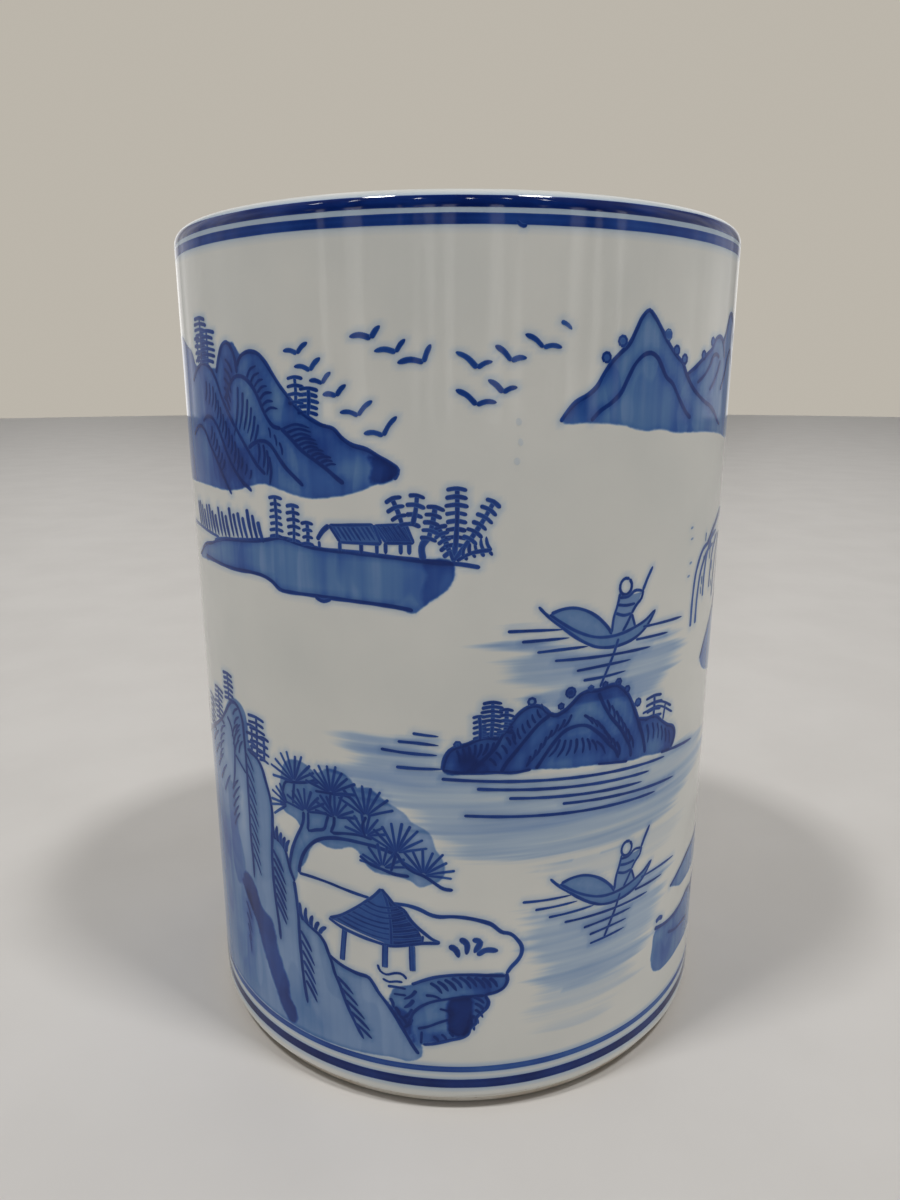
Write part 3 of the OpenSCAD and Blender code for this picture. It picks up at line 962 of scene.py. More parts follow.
patch([(-62.8, 66), (-59.8, 66.4), (-59.2, 60), (-58.6, 55), (-57, 51), (-56, 47), (-57, 43), (-60.4, 40),
       (-63, 44), (-63.4, 52), (-63.8, 60)], 0.75)
for s, z, wide, high, more in [
    (-55.5, 60, 2.5, 11, -0.5), (-47.5, 50, 3, 14, -0.12), (-68, 35, 9, 20, 0.5), (-60, 22, 8, 9, 0.6),
    (-74, 60, 9, 12, 0.4), (-52.5, 83, 2.5, 3.5, 0.4), (-41, 18, 6, 5, 0.25), (-27, 16, 8, 4, -0.1),
    (-33, 30, 3, 7, -0.12), (-22, 26, 3, 4, -0.1), (-95, 40, 14, 24, 0.5), (-40, 52, 2, 5, 0.2),
    (-63, 73, 4, 6, -0.3), (-56, 35, 4, 8, 0.75), (-66, 44, 5, 13, 0.4), (-32, 16, 5, 4, 0.25),
]:
    pool(s, z, wide, high, more)
stroke([(-90, 66.8), (-82, 71.8), (-74, 75.4), (-71, 77), (-67, 79.2), (-63.5, 81.6), (-61, 84), (-59, 86),
        (-57.4, 87.2)], 0.85)
stroke([(-57.8, 87), (-56, 87.3), (-54, 86.2), (-53, 84.4), (-52.5, 80), (-52.2, 72), (-52.3, 64),
        (-52.4, 56), (-52, 50), (-52, 45.4)], 0.95, tail=3)
stroke([(-60.6, 82.6), (-59, 81.4), (-58, 79), (-57.6, 75.5), (-57.8, 73), (-58.3, 70), (-59, 67.5),
        (-60, 65)], 0.8)
stroke([(-50.8, 77.5), (-48, 76.8), (-46.5, 75.5), (-45, 72), (-43.8, 68.5), (-43.4, 65), (-43.6, 62),
        (-44, 58.5), (-44.4, 54), (-44.3, 48), (-43.8, 42), (-43.2, 37), (-43, 33.4)], 0.95, tail=2)
stroke([(-43.6, 59.6), (-41.5, 58.7), (-40, 57.5), (-39.3, 55.5), (-38.6, 53), (-37.4, 50.4)], 0.85)
stroke([(-37.6, 50.4), (-37.3, 48), (-36.9, 44), (-36.8, 38), (-36.6, 32), (-36.2, 26), (-35.4, 20)],
       0.95, tail=2)
stroke([(-37, 43.8), (-35, 41.5), (-33, 40.3), (-31.3, 39.5), (-29.9, 38), (-28.9, 35.5), (-28.1, 33.4),
        (-27.5, 31), (-26.2, 28), (-25, 24.5), (-23.5, 21), (-22, 18), (-20.8, 15.8)], 0.9, tail=2)
stroke([(-28.6, 35), (-26, 33.6), (-23.5, 32.8), (-21, 32.3), (-19.3, 32.2), (-18.3, 31), (-17, 28.8),
        (-15, 26.2), (-13, 23), (-11, 19.2), (-9, 15.6), (-8.2, 14.4)], 0.95)
stroke([(-57.2, 74.4), (-55, 73), (-52.6, 71.4)], 0.7)
comb([(-58.4, 78.4), (-57.6, 74.6)], 3, (3.4, 4.2), (3.2, 4.8), 0.65)
comb([(-57.4, 84), (-56.4, 79), (-55.4, 75.4)], 5, (3, 2.4), (2, 3.4), 0.65)
comb([(-52, 76.6), (-51.9, 66), (-51.8, 52)], 11, (3, -4.2), (2.8, -4.4), 0.65, bend=0.04)
comb([(-44, 56), (-43.9, 50), (-43.6, 43)], 7, (3.7, -5.2), (3.4, -5.4), 0.85, bend=0.03)
comb([(-36.4, 38.6), (-36.1, 32), (-35.5, 26)], 6, (3.2, -4.8), (3, -4.8), 0.85, bend=0.03)
comb([(-27, 30.2), (-25, 25), (-22.6, 19.4)], 5, (4.4, -3.8), (4, -3.2), 0.85, bend=0.03)
comb([(-60.4, 64.6), (-60.6, 60), (-60.6, 55.4)], 5, (4.2, 4.2), (3.6, 4.6), 0.7, bend=0.03)
comb([(-74, 72), (-70, 66), (-66, 62)], 5, (6, 4.6), (5, 6), 0.8, SOFT_INK, bend=0.03)
comb([(-66, 77), (-68, 70)], 4, (3.6, 2.6), (3.6, 3.6), 0.65, SOFT_INK)
comb([(-56.6, 40), (-56.8, 34), (-56.4, 28)], 5, (3, -4.4), (0.6, -5), 0.8, SOFT_INK, bend=0.03)
comb([(-42.8, 58.8), (-41, 58.2), (-39.6, 57)], 5, (-0.6, 4), (1.2, 3), 1.1)
comb([(-35.4, 41.4), (-33, 40.4), (-31, 39.8)], 5, (-0.8, 4.4), (2, 2.2), 1.2)
for foot, top, reach, twigs in [
    ((-59, 87), (-59, 93.4), 5.4, 6), ((-66, 80), (-65.8, 88), 6.4, 7), ((-47.6, 77), (-47.2, 86.4), 6, 7),
    ((-49.6, 77.4), (-49.2, 84), 4, 4), ((-45.2, 76.6), (-44.9, 82.2), 3.6, 4), ((-73, 76), (-72, 84), 6, 6),
    ((-84, 71.4), (-84, 80), 6, 6),
]:
    fir(foot, top, reach, twigs, bare=0.05)
keep_lines("cliff_lines")

# %% [markdown]
# ## The pine
#
# A trunk leans out from the cliff and bends level. Its needles are fans: short lines that spring from one
# point, each fan a half wheel. Fans overlap in clumps over a pale wash that stands for the mass of green.

# %% Pine
def fan(s, z, size, low, high, needles, ink=2.8):
    """Pine needles in a half wheel from low to high degrees, each drawn from its tip in to the middle."""
    for k in range(needles):
        a = math.radians(low + (high - low) * k / (needles - 1) + hand.uniform(-3, 3))
        reach = size * hand.uniform(0.95, 1.14)
        tip = (s + reach * math.cos(a), z + reach * math.sin(a))
        start = (s + 0.5 * math.cos(a), z + 0.5 * math.sin(a))
        stroke([tip, ((s + tip[0]) / 2, (z + tip[1]) / 2 + 0.1), start], 0.68, ink, head=0.3, tail=reach)


wash([(-40.6, 71), (-40, 75), (-38.4, 78.6), (-36, 79.8), (-32.5, 79.4), (-30, 78), (-27.5, 79.6),
      (-24.5, 79.6), (-22, 78.4), (-20.5, 76.6), (-18, 77), (-15.4, 75.2), (-13, 73.6), (-10.5, 72.2),
      (-9, 70.2), (-6.5, 69), (-4.8, 67), (-4.3, 64.5), (-3, 62.5), (-2.3, 60), (-3, 57.6), (-5.5, 56.2),
      (-7.5, 55.4), (-9.4, 56.8), (-12, 57.5), (-15, 57.7), (-17.5, 58), (-19.6, 60), (-20.8, 62.2),
      (-22.5, 62.8), (-25, 61.7), (-28, 61.4), (-30.4, 62.2), (-32.4, 60), (-33.4, 57.4), (-34.6, 55.2),
      (-36.2, 54), (-36.4, 52), (-37.4, 50.4), (-38.6, 53), (-38.2, 56), (-37.2, 59.5), (-36, 62),
      (-35, 64.4), (-36.4, 66), (-39, 66.6), (-40.6, 68.4)], 1.2)
pool(-36, 58, 2.4, 6, 0.5)
pool(-28, 73, 7, 4, 0.35)
pool(-7, 67, 4, 5, -0.4)
pool(-12, 72, 4, 3, -0.3)
stroke([(-37.4, 50.4), (-38.7, 53), (-38.3, 56), (-37.2, 59.5), (-36, 62), (-34.9, 64), (-34.1, 65.8),
        (-33.8, 68.3)], 0.85)
stroke([(-36, 53), (-35.5, 55.5), (-34.5, 58), (-32.5, 60.8), (-30, 62.8), (-27, 63.9), (-23.5, 64.3),
        (-20, 64.2), (-17, 63.9), (-14.5, 63.3), (-12.4, 62.6)], 0.9)
stroke([(-32.6, 68.4), (-32.7, 66), (-32.8, 64.2), (-30.6, 64.9), (-28.6, 65.6), (-28, 67.4),
        (-27.4, 69)], 0.75)
stroke([(-26, 69), (-26.2, 67), (-26.9, 65.4), (-23.5, 65.7), (-20, 65.9), (-17.5, 65.4)], 0.75)
for line in [
    [(-36, 74.6), (-36.4, 72), (-36.7, 69.4)],
    [(-39.5, 69), (-39.3, 72.5), (-38.6, 73.9), (-36, 74.5), (-33, 75.2), (-30, 76.6)],
    [(-30.5, 73.9), (-26.5, 74.2), (-22, 74), (-20.6, 72.6), (-19, 70.8)],
    [(-26.7, 74), (-26.9, 71.4), (-26.2, 69)],
    [(-18.7, 70.4), (-19.6, 68), (-19, 65.9)],
    [(-12.4, 63), (-13, 60.6), (-13.6, 58.6)],
]:
    stroke(line, 0.7)
stroke([(-12.4, 63), (-10.5, 60.2), (-8.4, 58.8), (-6.8, 58.3), (-4.5, 56.7), (-2.5, 55.4), (-0.7, 55.2)],
       0.8)
stroke([(-20.4, 61.2), (-18, 59.6), (-15.6, 58.9), (-13, 58.1), (-9.7, 57.9)], 0.8)
for s, z, size, low, high, needles in [
    (-36, 74.6, 6.4, 10, 182, 10), (-26.6, 74.2, 6.1, 8, 166, 10), (-18.8, 70.4, 6.7, 22, 150, 8),
    (-12.4, 63, 6.8, 12, 152, 9), (-6.8, 58.4, 5.9, -8, 148, 9), (-33.3, 68.4, 5.4, 10, 172, 9),
    (-38.2, 68.6, 5, 118, 214, 6), (-25.8, 68.8, 5.2, 8, 172, 9), (-19, 66, 5.1, 10, 162, 8),
    (-15.4, 59.2, 5, 6, 172, 8),
]:
    fan(s, z, size, low, high, needles)
keep_lines("pine_lines")

# %% [markdown]
# ## The pavilion on its ledge
#
# Behind the cliff lies a spit of bare ground, left white, with one open pavilion. Its roof is a cone of
# thatch: a light side, a dark side, and rings of thatch that sag between the edges. Rocks hold the spit
# up below.

# %% Spit and pavilion
stroke([(-36, 53), (-32, 53.2), (-28, 53), (-24, 52.4), (-20, 51.8), (-18.4, 51.6)], 0.75)
stroke([(-13.2, 51.1), (-10.5, 51.1), (-7.5, 50.3), (-5.5, 49.3), (-4, 48.9), (-1, 49), (2, 48.7),
        (5, 47.9), (7.5, 46.8), (8.7, 45.6), (9.5, 44.9), (11.2, 44.4), (12.8, 42.8), (13.9, 40.8),
        (13.7, 38.8), (12.8, 37.4), (11.8, 36.4), (10.6, 34.6)], 0.95)
left_edge = [(-15.8, 54.2), (-17.5, 52.2), (-20, 50), (-23.5, 47.2), (-26, 45.5), (-28.2, 44.5)]
middle_edge = [(-15.6, 54.2), (-14.6, 51), (-14, 47), (-13.8, 41)]
right_edge = [(-15.4, 54.2), (-14.2, 52.4), (-12.8, 51), (-11, 50), (-9.7, 47.7), (-8.2, 45.7),
              (-7.2, 43), (-7.6, 42.2)]
fill(left_edge, middle_edge, 2.35)
fill(right_edge, middle_edge, 3.6)
stroke(left_edge, 0.8)
stroke(middle_edge, 0.8)
stroke([(-15.8, 54.2), (-14.4, 52.6), (-13, 50.9), (-11.2, 50), (-9.7, 47.7), (-8, 45.9), (-6.5, 44.6),
        (-5, 43.4), (-3.4, 42.7)], 0.85)
stroke([(-28.4, 44.4), (-26, 43.3), (-22, 42.2), (-18, 41.4), (-13.8, 40.9), (-10, 41.7), (-7.5, 42.3),
        (-3.4, 42.6)], 0.85)
stroke([(-7.2, 42.6), (-7, 44.2)], 0.6)
for k in range(1, 8):
    part = 0.22 + 0.1 * k
    from_left = curve(left_edge)[round(part * (len(curve(left_edge)) - 1))]
    centre = np.array([-14.4, 54 - 12.6 * part])
    from_right = curve(right_edge)[round(part * 0.94 * (len(curve(right_edge)) - 1))]
    stroke([from_left, (from_left + centre) / 2 + (0, -0.45), centre,
            (centre + from_right) / 2 + (0, -0.2), from_right], 0.62)
for top, foot, wide in [
    ((-24.5, 42.8), (-25.4, 34.8), 1.1), ((-15.2, 41), (-15.4, 35.3), 1.2),
    ((-9.4, 41.5), (-9.3, 35.3), 1.2),
]:
    stroke([top, foot], wide, SOFT_INK)
    stroke([(top[0] - wide * 0.4, top[1]), (foot[0] - wide * 0.4, foot[1])], 0.45)
    stroke([(top[0] + wide * 0.4, top[1]), (foot[0] + wide * 0.4, foot[1])], 0.45)
for line in [
    [(-17, 35.8), (-16.6, 34.4), (-15, 33.6), (-13.6, 34.2), (-12, 34.4), (-11, 33.8), (-10.7, 33.1)],
    [(-16, 32.5), (-14.6, 31.9), (-13, 32.3), (-11.5, 32.3)],
    [(-14.9, 30.8), (-12.8, 30.9), (-10.8, 30.7)],
    [(-13.6, 29.1), (-10.8, 29.1)],
]:
    stroke(line, 0.65)
for leaf in [
    ((-1.6, 42), (-0.2, 41.2), (0.5, 39.2)), ((0.7, 43.8), (2.1, 42.6), (2.1, 39.9)),
    ((3.3, 43.5), (4.9, 43), (3.7, 40.3)), ((4.3, 39.7), (6, 40.8), (8.8, 40.5)),
]:
    stroke(leaf, 1.35, head=0.8, tail=1.6)
print("lines of the spit and pavilion:", len(drawn))

# %% The rocks below it
wash([(-14.6, 28), (-13.6, 30.4), (-10, 31.8), (-6, 33.6), (-1, 34.8), (5, 34.9), (10.6, 34.4),
      (10.8, 32), (9, 30.4), (6.2, 29.8), (6.8, 28.2), (6.3, 26.4), (4.4, 24.5), (4.3, 23), (2.9, 21.2),
      (2.7, 20), (0, 19), (-4, 17.9), (-7.6, 16.8), (-8.4, 15), (-11, 20), (-13, 24)], 1.62)
patch([(-1.6, 28.8), (0.6, 29.6), (3, 29.6), (3.8, 27.6), (3.4, 25.4), (3.6, 23.4), (2.8, 21), (2.5, 19.8),
       (0.4, 19.4), (-1.6, 20.2), (-2, 24)], 2.1)
comb([(3.6, 29.4), (4, 26.6), (2.8, 23.4)], 5, (2.2, -1.6), (1, -2.4), 0.8)
comb([(-8.6, 30.6), (-9.4, 27), (-9.6, 23.4)], 4, (-2.6, -2.4), (-2, -2.8), 0.9)
patch([(-14.4, 26), (-12.4, 25.8), (-10.6, 24.6), (-9.6, 21), (-8.8, 16.4), (-11.4, 20.4)], 1.3)
pool(-5, 19, 3, 1.6, 1.0)
pool(6, 31.5, 4, 2, 0.7)
stroke([(-9.6, 32), (-7, 33.3), (-4, 34.4), (-1, 34.9), (3, 35), (7, 34.6), (10.4, 34.2)], 0.8)
stroke([(10.6, 34.8), (10.9, 33), (10, 31.2), (8, 30.2), (6.1, 29.7), (6.9, 28.3), (6.6, 26.8),
        (5.3, 25.3), (4.3, 24.2), (4.2, 22.8), (2.9, 21.5), (2.7, 20.2), (1.5, 19.3), (-1, 18.6),
        (-3, 18), (-5.5, 17.3), (-7.3, 17)], 0.85)
stroke([(-10, 21.6), (-9.6, 24.4), (-8, 26.4), (-5.4, 28), (-2, 28.9), (2, 29.5), (6, 29.7)], 0.75)
stroke([(-8.4, 21), (-6.2, 21.7), (-3.8, 22.9), (-1.6, 23.8)], 0.75)
stroke([(-7.7, 17.2), (-7.5, 20.4)], 0.7)
comb([(-5.6, 32.8), (0, 34.4), (7, 34)], 9, (2.6, -2.6), (2, -2.8), 0.85)
comb([(-6.6, 29.6), (-3.6, 26.4)], 2, (3.4, -0.8), (3.2, -1.6), 0.7)
comb([(-5, 19.4), (-1.6, 20.6)], 3, (1.2, -1.4), (1, -1.4), 0.7)
comb([(-14.4, 27.9), (-12.2, 23.8)], 3, (0.8, -2.6), (1.4, -2.2), 0.8)
keep_lines("pavilion_lines")

# %% [markdown]
# ## Round to the right
#
# The strip runs on past the right-hand edge of the front. A willow leans over the lake from a rock, and
# two low banks lie under it. Willow twigs are drawn as they hang: up from the tip, then over in an arch
# to the bough.

# %% Willow and banks
def hang(foot_s, foot_z, reach, rise, wide=1.1):
    """One hanging twig, from its tip up and over towards the bough, which is reach mm to the right."""
    stroke([(foot_s, foot_z), (foot_s + reach * 0.03, foot_z + rise * 0.38),
            (foot_s + reach * 0.16, foot_z + rise * 0.7), (foot_s + reach * 0.5, foot_z + rise * 0.93),
            (foot_s + reach, foot_z + rise)], wide, SOFT_INK, tail=3)


for foot_s, foot_z, reach, rise in [
    (58.5, 104.4, 9, 17.6), (61, 104.6, 10, 16.4), (64.8, 110, 9, 13.6), (69.8, 111, 8, 11.4),
    (74, 108, 9, 14), (79, 104, 8, 18), (84, 106, 6, 16), (102, 105, -7, 17), (107, 102, -10, 20),
    (112, 106, -13, 17), (116, 104, -14, 17.6), (98, 109, -4, 13), (90, 110, 3, 12),
]:
    hang(foot_s, foot_z, reach, rise)
for k in range(34):
    s, z = hand.uniform(63, 112), hand.uniform(111, 125)
    stroke([(s, z), (s + hand.uniform(-0.3, 0.3), z - hand.uniform(1.4, 2.6))], 0.7, SOFT_INK - 0.6)
for s, z in [(55.5, 126.4), (55.9, 124), (56, 118.8), (55.4, 116)]:
    stroke([(s, z), (s + 1.2, z + 0.2)], 0.6, 1.0)
stroke([(66, 121.6), (69, 123.8), (72.5, 125.6), (76, 127), (80, 127.4), (84, 126.6), (88, 123.6),
        (91, 118), (93.4, 111), (96, 104.6)], 1.3)
stroke([(88, 123.8), (92, 127), (97, 128), (103, 125.6), (109, 122)], 1.2)
stroke([(92.4, 119), (95.4, 112), (99, 105)], 1.2)
wash([(66.3, 95), (69, 98.4), (73, 102), (78, 105.2), (85, 106), (92, 104), (98, 105.4), (104, 102.6),
      (110, 98), (114, 92.4), (111, 88.4), (102, 87), (90, 87.4), (80, 89), (73, 90.4), (68.6, 92.4)],
     1.6)
pool(69, 95, 4, 4, 0.4)
pool(106, 93, 6, 5, 0.6)
stroke([(66.3, 95), (69, 98.4), (73, 102), (78, 105.2), (85, 106), (92, 104)], 0.8, SOFT_INK)
stroke([(92, 104), (98, 105.6), (104, 102.8), (110, 98), (114, 92.4), (111.4, 88.6)], 0.85)
stroke([(84, 105.8), (86, 99), (90, 94), (92.6, 88.4)], 0.8)
stroke([(98, 105.2), (100, 98), (104, 93), (105.6, 88.4)], 0.8)
comb([(85, 103), (87.4, 97), (91, 92)], 6, (3, -1.8), (3, -1.4), 0.65)
comb([(98.6, 103), (101, 96.6), (104, 92)], 6, (3.2, -1.6), (3.2, -1.2), 0.65)
wash([(57.4, 40.7), (60, 42), (64, 43.6), (68, 44.9), (75, 45.6), (84, 46.6), (94, 48.4), (104, 47.6),
      (113, 45), (120, 41.6), (117, 38.4), (106, 37.6), (92, 38), (78, 37.4), (69, 37.7), (63, 38.2),
      (60, 39.7)], 1.6)
stroke([(57.4, 40.8), (60, 42), (64, 43.5), (68, 44.8), (75, 45.5), (84, 46.6), (94, 48.4), (104, 47.6),
        (113, 45), (120.4, 41.4)], 0.8)
wash([(51.6, 31.9), (50.7, 28), (50.5, 24), (51.4, 21.4), (54, 19.7), (58, 19), (66, 19.2), (78, 18.6),
      (92, 18), (104, 19.4), (110, 23), (104, 27.6), (94, 30), (84, 32.4), (76, 31.6), (70, 32.8),
      (65, 31.8), (58, 31.6), (54, 32)], 1.75)
pool(56, 25, 4, 5, 0.35)
pool(98, 23, 8, 4, 0.5)
stroke([(51.2, 32.7), (54, 32.1), (58, 31.6), (65, 31.9), (70, 32.9), (76, 31.6), (84, 32.5), (94, 30),
        (104, 27.6), (110.4, 23)], 1.05)
stroke([(51.6, 34.2), (53, 34.7), (54.6, 34)], 1.3)
stroke([(58.2, 28.1), (62, 26.6), (68, 25.4), (73, 24)], 0.85, SOFT_INK)
comb([(76, 31), (84, 31.6), (94, 29)], 9, (1.6, -4), (2.6, -4), 0.65)
for foot, top, reach, twigs in [
    ((88, 47.6), (88, 57), 5, 7), ((94, 48.4), (94.6, 60), 6, 8), ((100, 48), (99.6, 55), 4.4, 5),
]:
    fir(foot, top, reach, twigs, bare=0.15)
hut(104, 53.6, 8)
keep_lines("willow_bank_lines")

# %% [markdown]
# ## The far side
#
# The far side carries on the same river: more peaks along the sky with a flock over them, an island with
# firs, a shore with two huts, two more boats, a rocky bank, and open water between them. The slopes of the
# cliff and the far mountain that face away from the front are finished here too. It is all painted with the
# same figures.

# %% Far side: hills and flocks
def hill(points, shade_side, foot_z):
    """A far hill: its outline, a wash down to foot_z, and two inner ridges with combs down one flank."""
    first, last = points[0][0], points[-1][0]
    foot = [(last - 2, foot_z + 0.6), ((first + last) / 2, foot_z - 0.8), (first + 2, foot_z + 0.5)]
    wash(points + foot, 2.0)
    stroke(points, 0.9, tail=2)
    peak = max(points, key=lambda point: point[1])
    drop = peak[1] - foot_z
    flank = (last if shade_side > 0 else first) - peak[0]
    for reach in (0.28, 0.6):
        top = peak[1] - drop * (0.14 + 0.25 * reach)
        inner = [(peak[0] + flank * reach * t, top - drop * 0.45 * t**1.3) for t in (0, 0.25, 0.55, 0.8, 1)]
        stroke(inner, 0.8)
        comb(inner[:4], 6, (-shade_side * 0.9, -2.8), (-shade_side * 1.2, -2.8), 0.6)
    pool(peak[0], foot_z + 2, drop * 0.5, 4, 0.35)


hill([(112, 147), (118, 152), (123, 158), (128, 160), (133, 156), (138, 153), (145, 148)], 1, 145)
hill([(132, 147), (139, 153), (145, 161), (150, 167), (155, 168), (160, 163), (166, 157), (173, 153),
      (181, 147)], 1, 144)
hill([(-163, 145), (-158, 151), (-153, 158), (-149, 160), (-144, 156), (-138, 151), (-131, 145)], -1, 142.5)
hill([(-140, 144), (-133, 151), (-127, 158), (-122, 165), (-117, 167), (-111, 162), (-105, 157),
      (-98, 152), (-92, 146)], -1, 141)
for s, z in [(121, 158.6), (142, 158), (147, 165), (163, 161), (-155, 157), (-130, 156), (-108, 160.5)]:
    bush(s, z, 1.1)
for k, (s, z) in enumerate([
    (190, 160), (195, 157.6), (200, 160.6), (205, 156), (210, 158.4), (216, 154.6), (193, 152.6),
]):
    gull((s, z + 0.4), (s + 3.4, z - 0.2 * (k % 2)), (s + 5.8, z + 2.2))
keep_lines("far_hill_lines")

# %% Far side: island
wash([(150, 66), (151, 70), (155, 73), (160, 77), (165, 82), (170, 84), (175, 82), (180, 78), (186, 75),
      (192, 71), (194, 66.4), (182, 65), (168, 64.6), (158, 65.2)], 2.2)
pool(156, 68, 5, 3, 1.0)
pool(186, 68, 6, 3, 0.7)
stroke([(150, 66), (151, 70), (155, 73), (160, 77), (165, 82), (170, 84), (175, 82), (180, 78), (186, 75),
        (192, 71), (194, 66.4)], 0.95)
stroke([(160, 76.6), (163, 72), (168, 68), (171, 65)], 0.85)
stroke([(172, 83), (175, 77), (180, 72), (184, 66)], 0.85)
comb([(161, 75), (164, 71), (168, 67.4)], 6, (-2, -2), (-2.4, -1.6), 0.65)
comb([(173, 80.6), (176, 75.6), (181, 70.4)], 8, (2.6, -2.4), (2.8, -2), 0.65)
comb([(153, 71), (157, 73.4), (162, 78)], 6, (1, -3), (1.6, -3.4), 0.65)
for foot, top, reach, twigs in [
    ((157, 74), (156.4, 84), 5, 7), ((162, 79), (162.6, 91), 6, 9), ((182, 77), (182, 86), 5, 7),
    ((187, 74), (187.6, 81), 4.4, 6),
]:
    fir(foot, top, reach, twigs, bare=0.12)
print("lines on the island:", len(drawn))

# %% Far side: shore, boats and ripples
wash([(-176, 112), (-170, 116), (-160, 119), (-148, 120.5), (-136, 120), (-126, 118), (-117, 114.6),
      (-119, 111.4), (-130, 110), (-146, 110.4), (-160, 109.6), (-170, 110)], 1.65)
stroke([(-177, 112), (-170, 116), (-160, 119), (-148, 120.6), (-136, 120.2), (-126, 118.2),
        (-115.6, 114.2)], 0.95)
stroke([(-174, 110.6), (-160, 109.7), (-146, 110.4), (-130, 110), (-119, 111.2)], 0.85)
hut(-150, 126.2, 9)
hut(-140.6, 126.4, 6, gable=False)
for k in range(15):
    foot_s = -134 + 1.2 * k
    stroke([(foot_s, 119.8 - 0.25 * k), (foot_s - 0.3, 122.4 - 0.25 * k),
            (foot_s - 1.2, 124.6 + (k * 7 % 4) * 0.7 - 0.25 * k)], 0.95, head=1.5, tail=2.4)
for foot, top, reach, twigs in [
    ((-164, 118), (-164, 129), 4.4, 8), ((-158.6, 119.2), (-159, 133), 5, 10),
    ((-154, 120), (-153.6, 128), 4, 6),
]:
    fir(foot, top, reach, twigs, bare=0.1)
boat(108, -10)
boat(-190, -44)
for s0, z0, s1, z1 in [
    (140, 63.4, 190, 62.6), (146, 60.6, 176, 60), (152, 58.2, 200, 57.4), (-186, 104, -140, 105),
    (-170, 101.4, -128, 102), (-158, 99, -134, 99.2), (128, 122, 150, 122.6), (132, 119.6, 160, 119.8),
]:
    ripple(s0, z0, s1, z1, 0.72)
keep_lines("far_side_lines")
water([(126, 122.4), (140, 123.4), (158, 121.4), (150, 119), (132, 118.4)], 0.4)
water([(-196, 105), (-176, 106.4), (-150, 105.8), (-130, 103), (-140, 99.6), (-160, 97.8), (-184, 100)], 0.5)
water([(134, 63), (160, 63.8), (196, 62.6), (214, 59.4), (196, 56.4), (166, 57), (142, 59)], 0.55)

# %% Far side: rocky bank
wash([(197, 13), (190, 18), (186, 26), (188, 34), (194, 40), (202, 43), (210, 40), (216, 44), (224, 41),
      (230, 32), (234, 22), (236.6, 13.4), (226, 12.8), (216, 12.6), (206, 12.8)], 1.5)
for line in [((196, 12.6), (190, 18), (186, 26), (188, 34), (194, 40), (202, 43), (208, 40)),
             ((206, 36), (210, 40.4), (216, 44), (224, 41), (230, 32), (234, 22), (238, 13)),
             ((208, 40), (211, 32), (210, 24), (213, 15)), ((196, 38), (199, 30), (197, 22))]:
    stroke(line, 0.9, tail=2)
comb([(209.6, 37), (211.4, 30), (210.6, 22)], 8, (3.2, -3.6), (3, -4), 0.65)
comb([(197, 35), (199, 29), (197.4, 23)], 6, (2.8, -3), (2.6, -3.4), 0.65)
for foot, top, reach, twigs in [
    ((200, 43), (200, 53), 5, 7), ((218, 43.6), (218.4, 55), 5.4, 8), ((223, 41), (223, 48), 4, 5),
]:
    fir(foot, top, reach, twigs, bare=0.12)
print("lines on the rocky bank:", len(drawn))

# %% Far side: slopes of the cliff and the far mountain
stroke([(-123, 12.8), (-117, 26), (-110, 40), (-101, 54), (-94, 63.6), (-90, 66.8)], 0.9)
stroke([(-92, 66), (-90, 58), (-88.6, 48), (-86, 36), (-85, 24)], 0.9, tail=2)
comb([(-90.6, 60), (-88.8, 50), (-86.4, 38)], 9, (3, -4.4), (2.8, -4.8), 0.7, bend=0.04)
stroke([(-106, 47), (-104, 40), (-102.6, 30), (-101, 19)], 0.9, tail=2)
comb([(-104.4, 42), (-102.8, 32), (-101.6, 24)], 7, (3.2, -4), (3, -4.4), 0.7, bend=0.04)
patch([(-97.4, 53), (-95.4, 51), (-94.4, 40), (-92.4, 30), (-92.8, 20), (-95, 18), (-97.2, 30),
       (-98.2, 42)], 1.2)
stroke([(-101, 136.6), (-96, 150), (-90, 160), (-86, 163.8), (-83, 165.6)], 0.8, SOFT_INK)
stroke([(-95, 150), (-93, 154.4), (-90.4, 155.4), (-88.4, 152.6), (-87, 147.6), (-85.4, 141),
        (-84.4, 137)], 0.85)
comb([(-89.4, 154), (-87.8, 149), (-86, 143)], 8, (-1.6, -3.4), (-1.4, -3.2), 0.65)
keep_lines("far_bank_lines")

# %% Stray touches
stroke([(10.2, 182.6), (11.2, 181.8), (12, 182)], 0.7)
for s, z in [(11, 150), (11.4, 146.4), (10.8, 143)]:
    stroke([(s, z), (s + 0.3, z - 1.3)], 1.1, 0.2, head=0.6, tail=0.6)
keep_lines("stray_touches")

# %% [markdown]
# ## The painted wall
#
# Now the amounts on the grid are complete, and the outer glaze can be made from it. Its lower edge was
# wiped by hand, so it runs a little up and down. The material works out the layer of cobalt: the wash
# inside its edge, with upright streaks from the brush, laps where one pull crossed another, and a
# slightly deeper rim where pigment dries last. The patches lie over it. The water tears up at its edge
# wherever the level streaks are thin.

